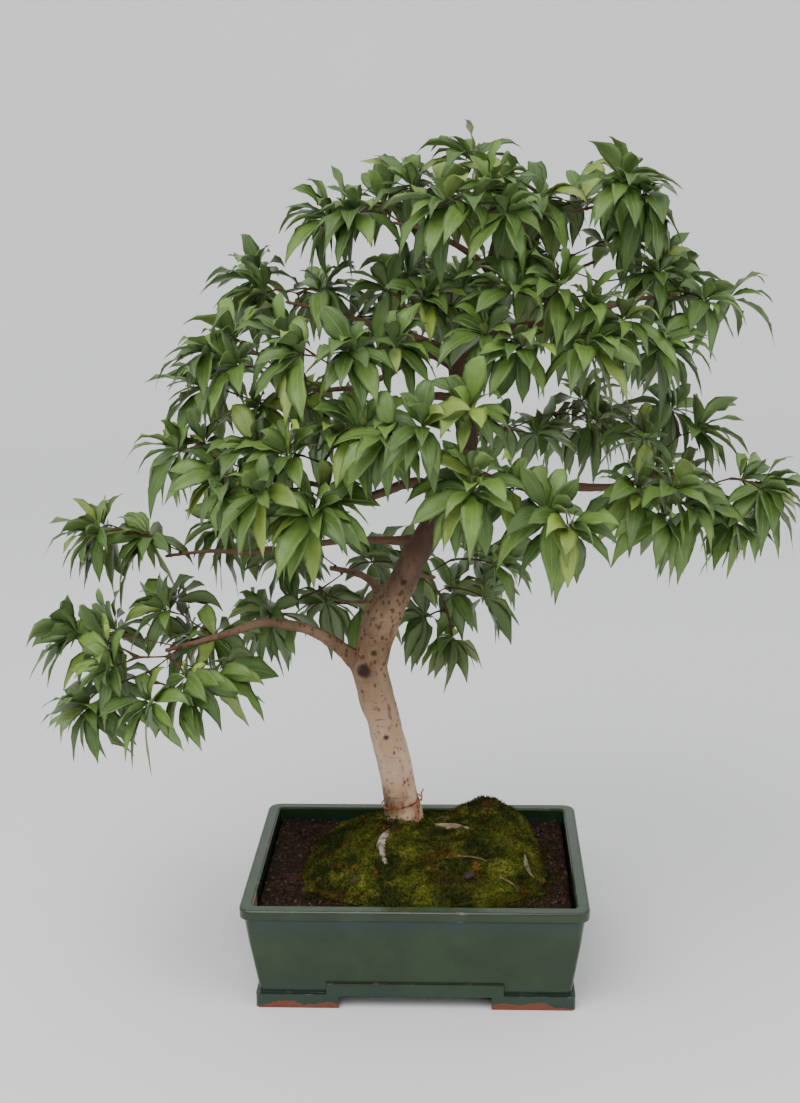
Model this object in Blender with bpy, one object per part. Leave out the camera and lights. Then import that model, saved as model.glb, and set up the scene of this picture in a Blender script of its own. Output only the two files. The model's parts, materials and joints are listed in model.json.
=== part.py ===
"""Broad-leaved bonsai tree in a glazed, footed pot, with soil and a moss mound.

Metres, +Z up. The origin is the middle of the pot on the plane that its feet stand on,
and the front of the pot faces -Y. Run it with blender --background --python part.py.
"""

import math
import random

import bmesh
import bpy
from mathutils import Matrix, Vector
from mathutils.bvhtree import BVHTree

# ---- pot ----
POT_LENGTH = 0.330
POT_WIDTH = 0.246
POT_HEIGHT = 0.108
POT_CORNER = 0.012
POT_CORNER_LEAST = 0.004
POT_CORNER_STEPS = 3
LIP_HEIGHT = 0.0108
LIP_OVERHANG = 0.0042
LIP_ROUNDING = 0.0014
RIM_WIDTH = 0.0125
WALL_LEAN = 0.0118
WALL_BULGE = 0.0
WALL = 0.0095
FLOOR_THICKNESS = 0.0100
FLOOR_COVE = 0.0060
FOOT_HEIGHT = 0.0125
FOOT_PROUD = 0.0040
FOOT_DEPTH = 0.0140
FOOT_LONG_SIDE = 0.0800
FOOT_SHORT_SIDE = 0.0600
BAND_HEIGHT = 0.0145
BAND_STEP = 0.0120
BAND_THICKNESS = 0.0060
DRAIN_DIAMETER = 0.0220
DRAIN_SPACING = 0.1500

# ---- what fills it ----
CLEARANCE = 0.0003
MESH_SIDE = 0.0450
MESH_THICKNESS = 0.0014
MESH_BARS = 3
MESH_BAR = 0.0030
GRAVEL_DEPTH = 0.0120
SOIL_BELOW_RIM = 0.0120
MOSS_MARGIN_LEFT = 0.0370
MOSS_MARGIN_RIGHT = 0.0220
MOSS_MARGIN_FRONT = 0.0040
MOSS_MARGIN_BACK = 0.0200
MOSS_EDGE = 0.0020
MOSS_SIDES = 26
MOSS_RINGS = (1.0, 0.92, 0.78, 0.62, 0.44, 0.24)
# Each bump of the mound: place, height over the soil, and reach left, right, front and back.
MOSS_BUMPS = (
    (-0.014, 0.020, 0.0455, 0.105, 0.090, 0.130, 0.085),
    (0.074, 0.047, 0.0535, 0.080, 0.055, 0.170, 0.050),
    (0.030, -0.030, 0.0380, 0.120, 0.100, 0.075, 0.090),
)

# ---- tree ----
TREE_SIZE = 1.0
WOOD_GIRTH = 1.0
TRUNK_SIDES = 10
BRANCH_SIDES = 6
LEAF_LENGTH = 0.052
LEAF_WIDTH = 0.019
LEAF_THICKNESS = 0.0014
LEAF_FOLD = 0.0012
LEAF_GAP = 0.0008
LEAVES_AT_TIP = 5
LEAVES_ON_SIDE_SHOOT = 4
SIDE_SHOOT_LENGTH = 0.044
LEAF_SPACING = 0.0030
TWIG_RADIUS = 0.0013
TWIG_GAP = 0.0005
WIRE_RADIUS = 0.0009
WIRE_HEIGHT = 0.0600
WIRE_TURNS = 1.12
WIRE_RISE = 0.0070
WIRE_TAIL = 0.0080
SEED = 7

# Routes of the wood: x and y from the middle of the pot, z over the soil, and radius.
TRUNK = (
    (-0.014, 0.022, -0.035, 0.0200),
    (-0.014, 0.022, -0.010, 0.0290),
    (-0.014, 0.021, 0.015, 0.0270),
    (-0.014, 0.020, 0.035, 0.0220),
    (-0.015, 0.020, 0.053, 0.0186),
    (-0.021, 0.020, 0.089, 0.0168),
    (-0.028, 0.020, 0.127, 0.0166),
    (-0.039, 0.018, 0.170, 0.0172),
    (-0.047, 0.016, 0.205, 0.0188),
    (-0.039, 0.014, 0.234, 0.0176),
    (-0.029, 0.010, 0.261, 0.0157),
    (-0.017, 0.006, 0.286, 0.0145),
    (-0.001, 0.000, 0.319, 0.0134),
    (0.017, -0.004, 0.352, 0.0124),
    (0.035, -0.006, 0.377, 0.0116),
    (0.047, -0.008, 0.404, 0.0106),
    (0.052, -0.008, 0.437, 0.0099),
    (0.047, -0.008, 0.475, 0.0102),
    (0.044, -0.008, 0.505, 0.0112),
    (0.054, -0.008, 0.530, 0.0080),
    (0.066, -0.010, 0.558, 0.0069),
    (0.071, -0.012, 0.582, 0.0060),
    (0.074, -0.014, 0.604, 0.0053),
    (0.079, -0.016, 0.625, 0.0041),
    (0.083, -0.018, 0.651, 0.0031),
    (0.086, -0.020, 0.670, 0.0022),
)
ROOTS = {
    "root_front": (
        (-0.016, 0.010, 0.030, 0.0110),
        (-0.032, -0.010, 0.034, 0.0066),
        (-0.034, -0.034, 0.027, 0.0062),
        (-0.024, -0.058, 0.018, 0.0050),
        (-0.010, -0.074, 0.000, 0.0036),
        (0.000, -0.080, -0.016, 0.0026),
    ),
    "root_right": (
        (-0.008, 0.018, 0.026, 0.0110),
        (0.024, 0.018, 0.032, 0.0060),
        (0.050, 0.004, 0.036, 0.0056),
        (0.064, -0.022, 0.031, 0.0052),
        (0.078, -0.046, 0.014, 0.0042),
        (0.088, -0.058, -0.012, 0.0028),
    ),
    "root_shoulder": (
        (-0.006, 0.026, 0.022, 0.0110),
        (0.034, 0.042, 0.030, 0.0066),
        (0.066, 0.044, 0.042, 0.0052),
        (0.088, 0.026, 0.036, 0.0046),
        (0.102, 0.004, 0.014, 0.0038),
        (0.108, -0.006, -0.010, 0.0028),
    ),
    "root_left": (
        (-0.020, 0.022, 0.022, 0.0110),
        (-0.050, 0.026, 0.012, 0.0070),
        (-0.080, 0.020, -0.006, 0.0050),
        (-0.100, 0.010, -0.022, 0.0030),
    ),
    "root_back": (
        (-0.014, 0.030, 0.018, 0.0120),
        (-0.018, 0.052, 0.002, 0.0070),
        (-0.026, 0.068, -0.016, 0.0046),
        (-0.034, 0.074, -0.028, 0.0030),
    ),
}
BRANCHES = {
    "low_left": (
        (-0.052, 0.016, 0.205, 0.0112),
        (-0.079, 0.010, 0.232, 0.0074),
        (-0.102, 0.000, 0.249, 0.0060),
        (-0.125, -0.010, 0.258, 0.0053),
        (-0.146, -0.020, 0.263, 0.0048),
        (-0.171, -0.030, 0.257, 0.0041),
        (-0.203, -0.040, 0.250, 0.0033),
        (-0.236, -0.045, 0.243, 0.0024),
    ),
    "left_mid": (
        (0.010, -0.002, 0.338, 0.0080),
        (-0.024, 0.015, 0.335, 0.0045),
        (-0.069, 0.030, 0.331, 0.0039),
        (-0.114, 0.040, 0.323, 0.0035),
        (-0.165, 0.045, 0.315, 0.0030),
        (-0.204, 0.045, 0.317, 0.0025),
        (-0.249, 0.040, 0.313, 0.0020),
    ),
    "left_front": (
        (0.036, -0.006, 0.378, 0.0080),
        (0.014, -0.022, 0.398, 0.0058),
        (-0.009, -0.040, 0.402, 0.0051),
        (-0.037, -0.060, 0.395, 0.0045),
        (-0.068, -0.075, 0.405, 0.0033),
        (-0.107, -0.080, 0.417, 0.0027),
        (-0.148, -0.075, 0.422, 0.0018),
    ),
    "left_middle": (
        (0.048, -0.008, 0.474, 0.0070),
        (0.026, -0.010, 0.479, 0.0044),
        (-0.002, -0.005, 0.477, 0.0037),
        (-0.035, 0.000, 0.468, 0.0033),
        (-0.078, 0.010, 0.465, 0.0028),
        (-0.121, 0.015, 0.467, 0.0024),
        (-0.160, 0.020, 0.470, 0.0019),
    ),
    "left_upper": (
        (0.046, -0.008, 0.502, 0.0080),
        (0.024, -0.014, 0.517, 0.0056),
        (0.003, -0.022, 0.520, 0.0046),
        (-0.019, -0.035, 0.503, 0.0036),
        (-0.054, -0.050, 0.493, 0.0029),
        (-0.094, -0.060, 0.493, 0.0022),
    ),
    "left_top": (
        (0.047, -0.006, 0.508, 0.0068),
        (0.019, 0.005, 0.526, 0.0042),
        (-0.012, 0.020, 0.535, 0.0034),
        (-0.050, 0.035, 0.545, 0.0028),
        (-0.093, 0.040, 0.556, 0.0024),
        (-0.121, 0.040, 0.562, 0.0019),
    ),
    "apex_left": (
        (0.072, -0.012, 0.592, 0.0048),
        (0.056, -0.015, 0.607, 0.0036),
        (0.034, -0.020, 0.621, 0.0031),
        (0.009, -0.020, 0.632, 0.0024),
        (-0.016, -0.020, 0.637, 0.0018),
    ),
    "apex_right": (
        (0.080, -0.016, 0.624, 0.0037),
        (0.108, -0.012, 0.636, 0.0027),
        (0.139, -0.005, 0.643, 0.0022),
        (0.169, 0.000, 0.648, 0.0018),
    ),
    "right_upper": (
        (0.052, -0.008, 0.524, 0.0068),
        (0.081, -0.020, 0.540, 0.0045),
        (0.121, -0.030, 0.548, 0.0040),
        (0.161, -0.030, 0.557, 0.0031),
        (0.206, -0.025, 0.568, 0.0027),
        (0.240, -0.020, 0.570, 0.0018),
    ),
    "right_back": (
        (0.065, -0.010, 0.555, 0.0052),
        (0.091, 0.020, 0.565, 0.0032),
        (0.129, 0.045, 0.579, 0.0028),
        (0.172, 0.060, 0.595, 0.0019),
    ),
    "right_mid": (
        (0.048, -0.008, 0.408, 0.0084),
        (0.074, 0.000, 0.397, 0.0062),
        (0.110, 0.008, 0.393, 0.0057),
        (0.148, 0.008, 0.389, 0.0050),
        (0.185, 0.000, 0.390, 0.0042),
        (0.221, -0.010, 0.399, 0.0033),
        (0.261, -0.020, 0.406, 0.0023),
    ),
    "front": (
        (0.040, -0.008, 0.386, 0.0068),
        (0.057, -0.050, 0.392, 0.0038),
        (0.082, -0.100, 0.394, 0.0031),
        (0.106, -0.140, 0.389, 0.0022),
    ),
    "front_left": (
        (0.051, -0.010, 0.428, 0.0060),
        (0.031, -0.050, 0.434, 0.0032),
        (0.010, -0.090, 0.444, 0.0022),
    ),
    "back_right": (
        (0.052, -0.006, 0.440, 0.0060),
        (0.068, 0.050, 0.436, 0.0034),
        (0.094, 0.100, 0.427, 0.0024),
    ),
    "back": (
        (0.053, -0.006, 0.528, 0.0056),
        (0.054, 0.050, 0.528, 0.0033),
        (0.052, 0.100, 0.527, 0.0024),
    ),
    "back_left": (
        (-0.047, 0.016, 0.214, 0.0094),
        (-0.048, 0.034, 0.254, 0.0062),
        (-0.039, 0.055, 0.273, 0.0050),
        (-0.057, 0.085, 0.281, 0.0041),
        (-0.092, 0.115, 0.280, 0.0028),
    ),
    "back_low": (
        (-0.041, 0.052, 0.270, 0.0046),
        (-0.013, 0.090, 0.279, 0.0036),
        (0.017, 0.120, 0.268, 0.0026),
    ),
    "dead_stub": (
        (-0.045, 0.046, 0.265, 0.0032),
        (-0.062, 0.034, 0.267, 0.0021),
        (-0.079, 0.026, 0.272, 0.0013),
    ),
}
# Sprays of leaves on each branch: each spray is one twig that forks to the ends given here,
# and every end carries a tuft of leaves.
SPRAYS = {
    "low_left": (
        ((-0.322, -0.045, 0.259),),
        ((-0.280, -0.085, 0.239), (-0.205, -0.090, 0.229)),
        ((-0.240, -0.015, 0.274), (-0.195, 0.000, 0.239)),
        ((-0.310, -0.060, 0.189), (-0.240, -0.105, 0.209)),
    ),
    "left_mid": (
        ((-0.315, 0.030, 0.339), (-0.263, 0.044, 0.331)),
        ((-0.190, 0.065, 0.339),),
    ),
    "left_front": (
        ((-0.215, -0.040, 0.434), (-0.170, -0.070, 0.414)),
        ((-0.105, -0.120, 0.444), (-0.055, -0.110, 0.459)),
        ((-0.075, -0.100, 0.399), (-0.140, -0.110, 0.404)),
    ),
    "left_middle": (
        ((-0.200, 0.020, 0.484), (-0.140, -0.020, 0.469)),
        ((-0.090, 0.040, 0.439),),
    ),
    "left_upper": (
        ((-0.155, -0.055, 0.514), (-0.163, -0.021, 0.537)),
        ((-0.095, -0.090, 0.529), (-0.045, -0.110, 0.534)),
    ),
    "left_top": (
        ((-0.145, 0.040, 0.569), (-0.085, 0.055, 0.569)),
        ((-0.025, 0.020, 0.574), (0.015, -0.040, 0.569)),
        ((-0.065, 0.110, 0.534),),
    ),
    "apex_left": (
        ((-0.050, -0.020, 0.645), (-0.025, 0.040, 0.652)),
        ((0.000, -0.005, 0.668), (0.035, -0.060, 0.652)),
    ),
    "apex": (
        ((0.078, -0.020, 0.662),),
        ((0.085, -0.075, 0.644), (0.120, 0.010, 0.655)),
        ((0.060, 0.065, 0.652),),
    ),
    "apex_right": (
        ((0.190, 0.000, 0.662), (0.155, 0.030, 0.650)),
        ((0.210, -0.030, 0.659),),
    ),
    "right_upper": (
        ((0.220, -0.005, 0.589), (0.265, -0.020, 0.564)),
        ((0.185, -0.085, 0.554), (0.220, -0.055, 0.524)),
        ((0.095, -0.115, 0.534), (0.155, -0.110, 0.534)),
        ((0.130, -0.090, 0.584),),
    ),
    "right_back": (
        ((0.185, 0.070, 0.609), (0.125, 0.060, 0.604)),
        ((0.245, 0.100, 0.569), (0.175, 0.130, 0.534)),
    ),
    "right_mid": (
        ((0.215, 0.010, 0.434), (0.270, 0.030, 0.439)),
        ((0.306, -0.020, 0.399), (0.295, -0.040, 0.364)),
        ((0.250, -0.070, 0.384), (0.200, -0.085, 0.404)),
        ((0.240, 0.090, 0.389),),
    ),
    "front": (
        ((0.135, -0.184, 0.394),),
        ((0.090, -0.165, 0.424), (0.045, -0.150, 0.429)),
    ),
    "front_left": (((-0.015, -0.150, 0.464), (0.015, -0.180, 0.479)),),
    "back_right": (
        ((0.095, 0.165, 0.419),),
        ((0.150, 0.185, 0.409), (0.185, 0.140, 0.429)),
    ),
    "back": (
        ((0.040, 0.178, 0.534), (0.105, 0.176, 0.524)),
        ((-0.010, 0.165, 0.519), (0.045, 0.120, 0.574)),
    ),
    "back_left": (
        ((-0.140, 0.150, 0.284), (-0.157, 0.163, 0.316)),
        ((-0.100, 0.140, 0.234), (-0.165, 0.120, 0.224)),
        ((-0.050, 0.160, 0.274),),
    ),
    "back_low": (
        ((0.035, 0.175, 0.234), (0.035, 0.165, 0.184)),
        ((0.065, 0.185, 0.269),),
    ),
}

# ---- small things that lie on the moss and soil: place, turn in degrees, and sizes ----
STONE = ((0.052, -0.072), 20, (0.0120, 0.0095, 0.0070))
BARK_CHIP = ((-0.058, -0.066), 10, (0.0130, 0.0085, 0.0016))
FALLEN_LEAF = ((0.108, -0.040), -62, (0.0300, 0.0110, 0.0012))
TWIGS = {
    "fallen_twig_middle": ((0.055, -0.052), -12, 0.0300, 0.0008),
    "fallen_twig_right": ((0.088, -0.074), -24, 0.0170, 0.0008),
    "fallen_twig_left": ((-0.012, -0.046), -60, 0.0150, 0.0007),
}

GLAZE = ("glaze", (0.070, 0.125, 0.085), 0.28, 0.0)
PLASTIC = ("mesh_plastic", (0.030, 0.030, 0.030), 0.60, 0.0)
PUMICE = ("pumice", (0.300, 0.220, 0.150), 0.95, 0.0)
SOIL = ("soil", (0.050, 0.026, 0.018), 0.95, 0.0)
MOSS = ("moss", (0.130, 0.170, 0.030), 0.90, 0.0)
BARK = ("bark", (0.450, 0.360, 0.270), 0.75, 0.0)
LEAF = ("leaf", (0.060, 0.130, 0.040), 0.45, 0.0)
COPPER = ("copper", (0.800, 0.300, 0.120), 0.35, 1.0)
DRY_WOOD = ("dry_wood", (0.420, 0.300, 0.170), 0.80, 0.0)
DARK_BARK = ("dark_bark", (0.060, 0.030, 0.025), 0.85, 0.0)
PEBBLE = ("pebble", (0.110, 0.060, 0.050), 0.80, 0.0)
DRY_LEAF = ("dry_leaf", (0.200, 0.220, 0.120), 0.70, 0.0)

UP = Vector((0.0, 0.0, 1.0))
SOIL_TOP = POT_HEIGHT - SOIL_BELOW_RIM
FLOOR_TOP = FOOT_HEIGHT + 0.001 + FLOOR_THICKNESS
GRAVEL_TOP = FLOOR_TOP + GRAVEL_DEPTH


# ---- scene, materials and objects ----
def clear_scene():
    for obj in list(bpy.data.objects):
        bpy.data.objects.remove(obj)


def material(finish):
    """The Principled material of a finish, made the first time that it is asked for."""
    name, colour, roughness, metallic = finish
    found = bpy.data.materials.get(name)
    if found:
        return found
    made = bpy.data.materials.new(name)
    made.use_nodes = True
    shader = made.node_tree.nodes["Principled BSDF"]
    shader.inputs["Base Color"].default_value = (*colour, 1.0)
    shader.inputs["Roughness"].default_value = roughness
    shader.inputs["Metallic"].default_value = metallic
    return made


def finish_object(name, bm, finish, smooth_angle=40):
    """Turns a bmesh into a linked object with its own material, shaded smooth up to an angle."""
    bmesh.ops.recalc_face_normals(bm, faces=bm.faces)
    mesh = bpy.data.meshes.new(name)
    bm.to_mesh(mesh)
    bm.free()
    mesh.shade_smooth()
    mesh.set_sharp_from_angle(angle=math.radians(smooth_angle))
    obj = bpy.data.objects.new(name, mesh)
    obj.data.materials.append(material(finish))
    bpy.context.scene.collection.objects.link(obj)
    return obj


def helper(obj):
    """Marks an object as a cutter or joiner that is no part of the model."""
    obj.hide_render = True
    obj.display_type = "WIRE"
    return obj


def gather(name, objects):
    """A collection that holds the helpers of one Boolean."""
    collection = bpy.data.collections.new(name)
    bpy.context.scene.collection.children.link(collection)
    for obj in objects:
        bpy.context.scene.collection.objects.unlink(obj)
        collection.objects.link(helper(obj))
    collection.hide_render = True
    return collection


def boolean(obj, name, collection, operation):
    modifier = obj.modifiers.new(name, "BOOLEAN")
    modifier.operation = operation
    modifier.operand_type = "COLLECTION"
    modifier.collection = collection
    modifier.solver = "EXACT"


def surface(obj):
    """Search tree of the object's surface, with its modifiers, in world space."""
    graph = bpy.context.evaluated_depsgraph_get()
    evaluated = obj.evaluated_get(graph)
    mesh = evaluated.to_mesh()
    mesh.calc_loop_triangles()
    points = [obj.matrix_world @ vertex.co for vertex in mesh.vertices]
    faces = [tuple(triangle.vertices) for triangle in mesh.loop_triangles]
    evaluated.to_mesh_clear()
    return BVHTree.FromPolygons(points, faces)


# ---- lofted shapes ----
def ring(bm, points):
    corners = [bm.verts.new(point) for point in points]
    return [bm.edges.new(pair) for pair in zip(corners, corners[1:] + corners[:1])]


def loft(bm, rings):
    """Skins the rings in order and closes both ends."""
    loops = [ring(bm, points) for points in rings]
    for below, above in zip(loops, loops[1:]):
        bmesh.ops.bridge_loops(bm, edges=below + above)
    for end in (loops[0], loops[-1]):
        bmesh.ops.contextual_create(bm, geom=end)


def box(bm, low, high):
    """Adds a block between two corners."""
    centre = (Vector(low) + Vector(high)) / 2
    size = Vector(high) - Vector(low)
    place = Matrix.Translation(centre) @ Matrix.Diagonal((*size, 1.0))
    bmesh.ops.create_cube(bm, size=1.0, matrix=place)


def rounded_rectangle(inset, z):
    """Pot outline pulled in from the rim by an inset, with its corner arcs, at a height."""
    half = (POT_LENGTH / 2 - inset, POT_WIDTH / 2 - inset)
    radius = max(POT_CORNER - inset, POT_CORNER_LEAST)
    points = []
    for quarter, (sx, sy) in enumerate(((1, 1), (-1, 1), (-1, -1), (1, -1))):
        for step in range(POT_CORNER_STEPS + 1):
            angle = math.pi / 2 * (quarter + step / POT_CORNER_STEPS)
            x = sx * (half[0] - radius) + radius * math.cos(angle)
            y = sy * (half[1] - radius) + radius * math.sin(angle)
            points.append(Vector((x, y, z)))
    return points


def smooth_route(route, steps):
    """Points of a Catmull-Rom curve through (x, y, z, radius) rows."""
    rows = [Vector(row) for row in route]
    rows = [2 * rows[0] - rows[1], *rows, 2 * rows[-1] - rows[-2]]
    made = []
    for a, b, c, d in zip(rows, rows[1:], rows[2:], rows[3:]):
        for step in range(steps):
            t = step / steps
            made.append(
                0.5 * (2 * b + (c - a) * t + (2 * a - 5 * b + 4 * c - d) * t**2)
                + 0.5 * (3 * b - a - 3 * c + d) * t**3
            )
    return [*made, rows[-2]]


def tube_rings(rows, sides):
    """Rings across a route of (x, y, z, radius) rows, turned as little as they can be."""
    points = [row.to_3d() for row in rows]
    tangents = [
        (points[min(i + 1, len(points) - 1)] - points[max(i - 1, 0)]).normalized()
        for i in range(len(points))
    ]
    across = tangents[0].orthogonal().normalized()
    rings = []
    for point, tangent, row in zip(points, tangents, rows):
        across = (across - tangent * across.dot(tangent)).normalized()
        beside = tangent.cross(across)
        angles = [2 * math.pi * side / sides for side in range(sides)]
        rings.append(
            [point + row[3] * (across * math.cos(a) + beside * math.sin(a)) for a in angles]
        )
    return rings


def tube(name, route, sides, finish, steps=2, swell=0.0, longer=0.0):
    """Tapered round stem along a smooth route, fatter by swell and longer at both ends."""
    rows = smooth_route(route, steps)
    for end, inner in ((0, 1), (-1, -2)):
        outward = (rows[end].to_3d() - rows[inner].to_3d()).normalized() * longer
        rows[end] = Vector((*(rows[end].to_3d() + outward), rows[end][3]))
    for row in rows:
        row[3] += swell
    bm = bmesh.new()
    loft(bm, tube_rings(rows, sides))
    return finish_object(name, bm, finish, smooth_angle=60)


# ---- pot ----
def lip_bottom():
    return POT_HEIGHT - LIP_HEIGHT


def outer_inset(z):
    """How far the wall below the lip stands in from the rim's edge at a height."""
    share = (lip_bottom() - z) / (lip_bottom() - BAND_HEIGHT)
    bulge = WALL_BULGE * 4 * share * (1 - share)
    return LIP_OVERHANG + WALL_LEAN * share - bulge


def inner_inset(z):
    """How far the inside of the wall stands in from the rim's edge at a height."""
    if z >= lip_bottom():
        return RIM_WIDTH
    above_cove = max(z, FLOOR_TOP + FLOOR_COVE)
    below = max(0.0, FLOOR_TOP + FLOOR_COVE - z)
    inset = max(outer_inset(above_cove) + WALL, RIM_WIDTH)
    return inset + below


def pot_body():
    """The bowl of the pot: outer wall, lip, rim, inner wall and floor."""
    top = lip_bottom()
    wall_heights = [FOOT_HEIGHT + 0.001, 0.030, 0.050, 0.070, 0.085]
    share = POT_HEIGHT / 0.108
    wall_heights = [wall_heights[0]] + [z * share for z in wall_heights[1:]]
    outer = [(outer_inset(z), z) for z in (*wall_heights, top)]
    lip = [
        (LIP_ROUNDING, top),
        (0.0, top + LIP_ROUNDING),
        (0.0, POT_HEIGHT - LIP_ROUNDING),
        (LIP_ROUNDING, POT_HEIGHT),
        (RIM_WIDTH - LIP_ROUNDING, POT_HEIGHT),
        (RIM_WIDTH, POT_HEIGHT - LIP_ROUNDING),
    ]
    cove_top = FLOOR_TOP + FLOOR_COVE
    heights = [top, (top + cove_top) / 2, cove_top, FLOOR_TOP]
    inner = [(inner_inset(z), z) for z in heights]
    bm = bmesh.new()
    loft(bm, [rounded_rectangle(inset, z) for inset, z in outer + lip + inner])
    return finish_object("pot", bm, GLAZE, smooth_angle=30)


def frame_ring(name, outer, inner, low, high):
    """A flat-topped frame that follows the pot's outline between two insets."""
    bm = bmesh.new()
    corners = ((outer, low), (outer, high), (inner, high), (inner, low))
    rings = [[bm.verts.new(p) for p in rounded_rectangle(inset, z)] for inset, z in corners]
    for below, above in zip(rings, rings[1:] + rings[:1]):
        for index in range(len(below)):
            following = (index + 1) % len(below)
            bm.faces.new((below[index], below[following], above[following], above[index]))
    return finish_object(name, bm, GLAZE)


def foot_inset():
    return outer_inset(BAND_HEIGHT) - FOOT_PROUD


def foot_ends():
    """Where the feet stop on the long and on the short sides, measured from the middle."""
    long_end = POT_LENGTH / 2 - foot_inset() - FOOT_LONG_SIDE
    short_end = POT_WIDTH / 2 - foot_inset() - FOOT_SHORT_SIDE
    return long_end, short_end


def pot():
    """Pot with its stepped foot band, four corner feet and two drain holes."""
    body = pot_body()
    long_end, short_end = foot_ends()
    band_top = FOOT_HEIGHT + BAND_STEP + 0.0015
    inset = foot_inset()
    band = frame_ring("band", inset, inset + BAND_THICKNESS, 0.0, band_top)
    corners = bmesh.new()
    reach = POT_LENGTH
    for sx in (-1, 1):
        for sy in (-1, 1):
            near = (sx * (long_end + BAND_STEP), sy * (short_end + BAND_STEP))
            xs = sorted((near[0], sx * reach))
            ys = sorted((near[1], sy * reach))
            box(corners, (xs[0], ys[0], BAND_HEIGHT), (xs[1], ys[1], 2 * band_top))
    boolean(band, "step", gather("band_steps", [finish_object("steps", corners, GLAZE)]), "DIFFERENCE")
    feet = frame_ring("feet", inset + 0.001, inset + FOOT_DEPTH, 0.0, FOOT_HEIGHT + 0.0015)
    boolean(body, "feet", gather("foot_parts", [band, feet]), "UNION")
    through_front = bmesh.new()
    box(through_front, (-long_end, -reach, -0.01), (long_end, reach, FOOT_HEIGHT))
    through_side = bmesh.new()
    box(through_side, (-reach, -short_end, -0.011), (reach, short_end, FOOT_HEIGHT + 0.0001))
    arches = [
        finish_object("front_arch", through_front, GLAZE),
        finish_object("side_arch", through_side, GLAZE),
    ]
    drains = bmesh.new()
    for side in (-1, 1):
        place = Matrix.Translation((side * DRAIN_SPACING / 2, 0.0, FLOOR_TOP))
        bmesh.ops.create_cone(
            drains,
            cap_ends=True,
            segments=16,
            radius1=DRAIN_DIAMETER / 2,
            radius2=DRAIN_DIAMETER / 2,
            depth=4 * FLOOR_THICKNESS,
            matrix=place,
        )
    holes = finish_object("drains", drains, GLAZE)
    boolean(body, "arches", gather("foot_arches", arches), "DIFFERENCE")
    boolean(body, "drains", gather("drain_holes", [holes]), "DIFFERENCE")
    return body


def drain_mesh(name, x):
    """Square plastic netting over a drain hole."""
    pitch = (MESH_SIDE - MESH_BAR) / MESH_BARS
    bm = bmesh.new()
    bottom = FLOOR_TOP + CLEARANCE
    half = MESH_SIDE / 2
    box(bm, (x - half, -half, bottom), (x + half, half, bottom + MESH_THICKNESS))
    plate = finish_object(name, bm, PLASTIC, smooth_angle=30)
    windows = bmesh.new()
    opening = pitch - MESH_BAR
    for column in range(MESH_BARS):
        for row in range(MESH_BARS):
            low_x = x - half + MESH_BAR + column * pitch
            low_y = -half + MESH_BAR + row * pitch
            low = (low_x, low_y, bottom - 0.001)
            high = (low_x + opening, low_y + opening, bottom + 2 * MESH_THICKNESS)
            box(windows, low, high)
    cutter = finish_object(name + "_windows", windows, PLASTIC)
    boolean(plate, "windows", gather(name + "_cut", [cutter]), "DIFFERENCE")
    return plate


# ---- fill ----
def layer(name, low, high, finish):
    """A fill of the pot between two heights, clear of its walls."""
    cove_top = FLOOR_TOP + FLOOR_COVE
    heights = [low, *(z for z in (cove_top, lip_bottom()) if low < z < high), high]
    bm = bmesh.new()
    loft(bm, [rounded_rectangle(inner_inset(z) + CLEARANCE, z) for z in heights])
    return finish_object(name, bm, finish, smooth_angle=30)


def gravel(mesh_places):
    low = FLOOR_TOP + CLEARANCE
    bed = layer("drainage_gravel", low, GRAVEL_TOP, PUMICE)
    bm = bmesh.new()
    half = MESH_SIDE / 2 + CLEARANCE
    for x in mesh_places:
        top = low + MESH_THICKNESS + CLEARANCE
        box(bm, (x - half, -half, low - 0.005), (x + half, half, top))
    cutter = finish_object("mesh_recesses", bm, PUMICE)
    boolean(bed, "recesses", gather("gravel_recesses", [cutter]), "DIFFERENCE")
    return bed


def in_tree(row):
    """A route row placed over the soil at the tree's size and girth."""
    x, y, z, radius = row
    return (x * TREE_SIZE, y * TREE_SIZE, SOIL_TOP + z * TREE_SIZE, radius * WOOD_GIRTH)


def place_in_tree(point):
    return Vector(in_tree((*point, 0.0))[:3])


def root_space(name):
    """Cutters in the shape of the buried wood, with the clearance added all round."""
    swell = 2 * CLEARANCE
    foot = [in_tree(row) for row in TRUNK[:8]]
    parts = [tube(name + "_trunk", foot, TRUNK_SIDES, BARK, steps=1, swell=swell, longer=swell)]
    for root, route in ROOTS.items():
        rows = [in_tree(row) for row in route]
        parts.append(tube(f"{name}_{root}", rows, BRANCH_SIDES, BARK, swell=swell, longer=swell))
    return gather(name, parts)


def soil():
    bed = layer("soil", GRAVEL_TOP + CLEARANCE, SOIL_TOP, SOIL)
    boolean(bed, "roots", root_space("soil_roots"), "DIFFERENCE")
    return bed


def moss_height(x, y):
    """Height of the mound over the soil: the highest of its bumps, blended at their seams."""
    total = 0.0
    power = 6
    for cx, cy, height, left, right, front, back in MOSS_BUMPS:
        along = (x - cx) / (right if x > cx else left)
        across = (y - cy) / (back if y > cy else front)
        distance = min(1.0, math.hypot(along, across))
        total += (height * (1 - distance**1.35)) ** power
    return total ** (1 / power)


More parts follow.
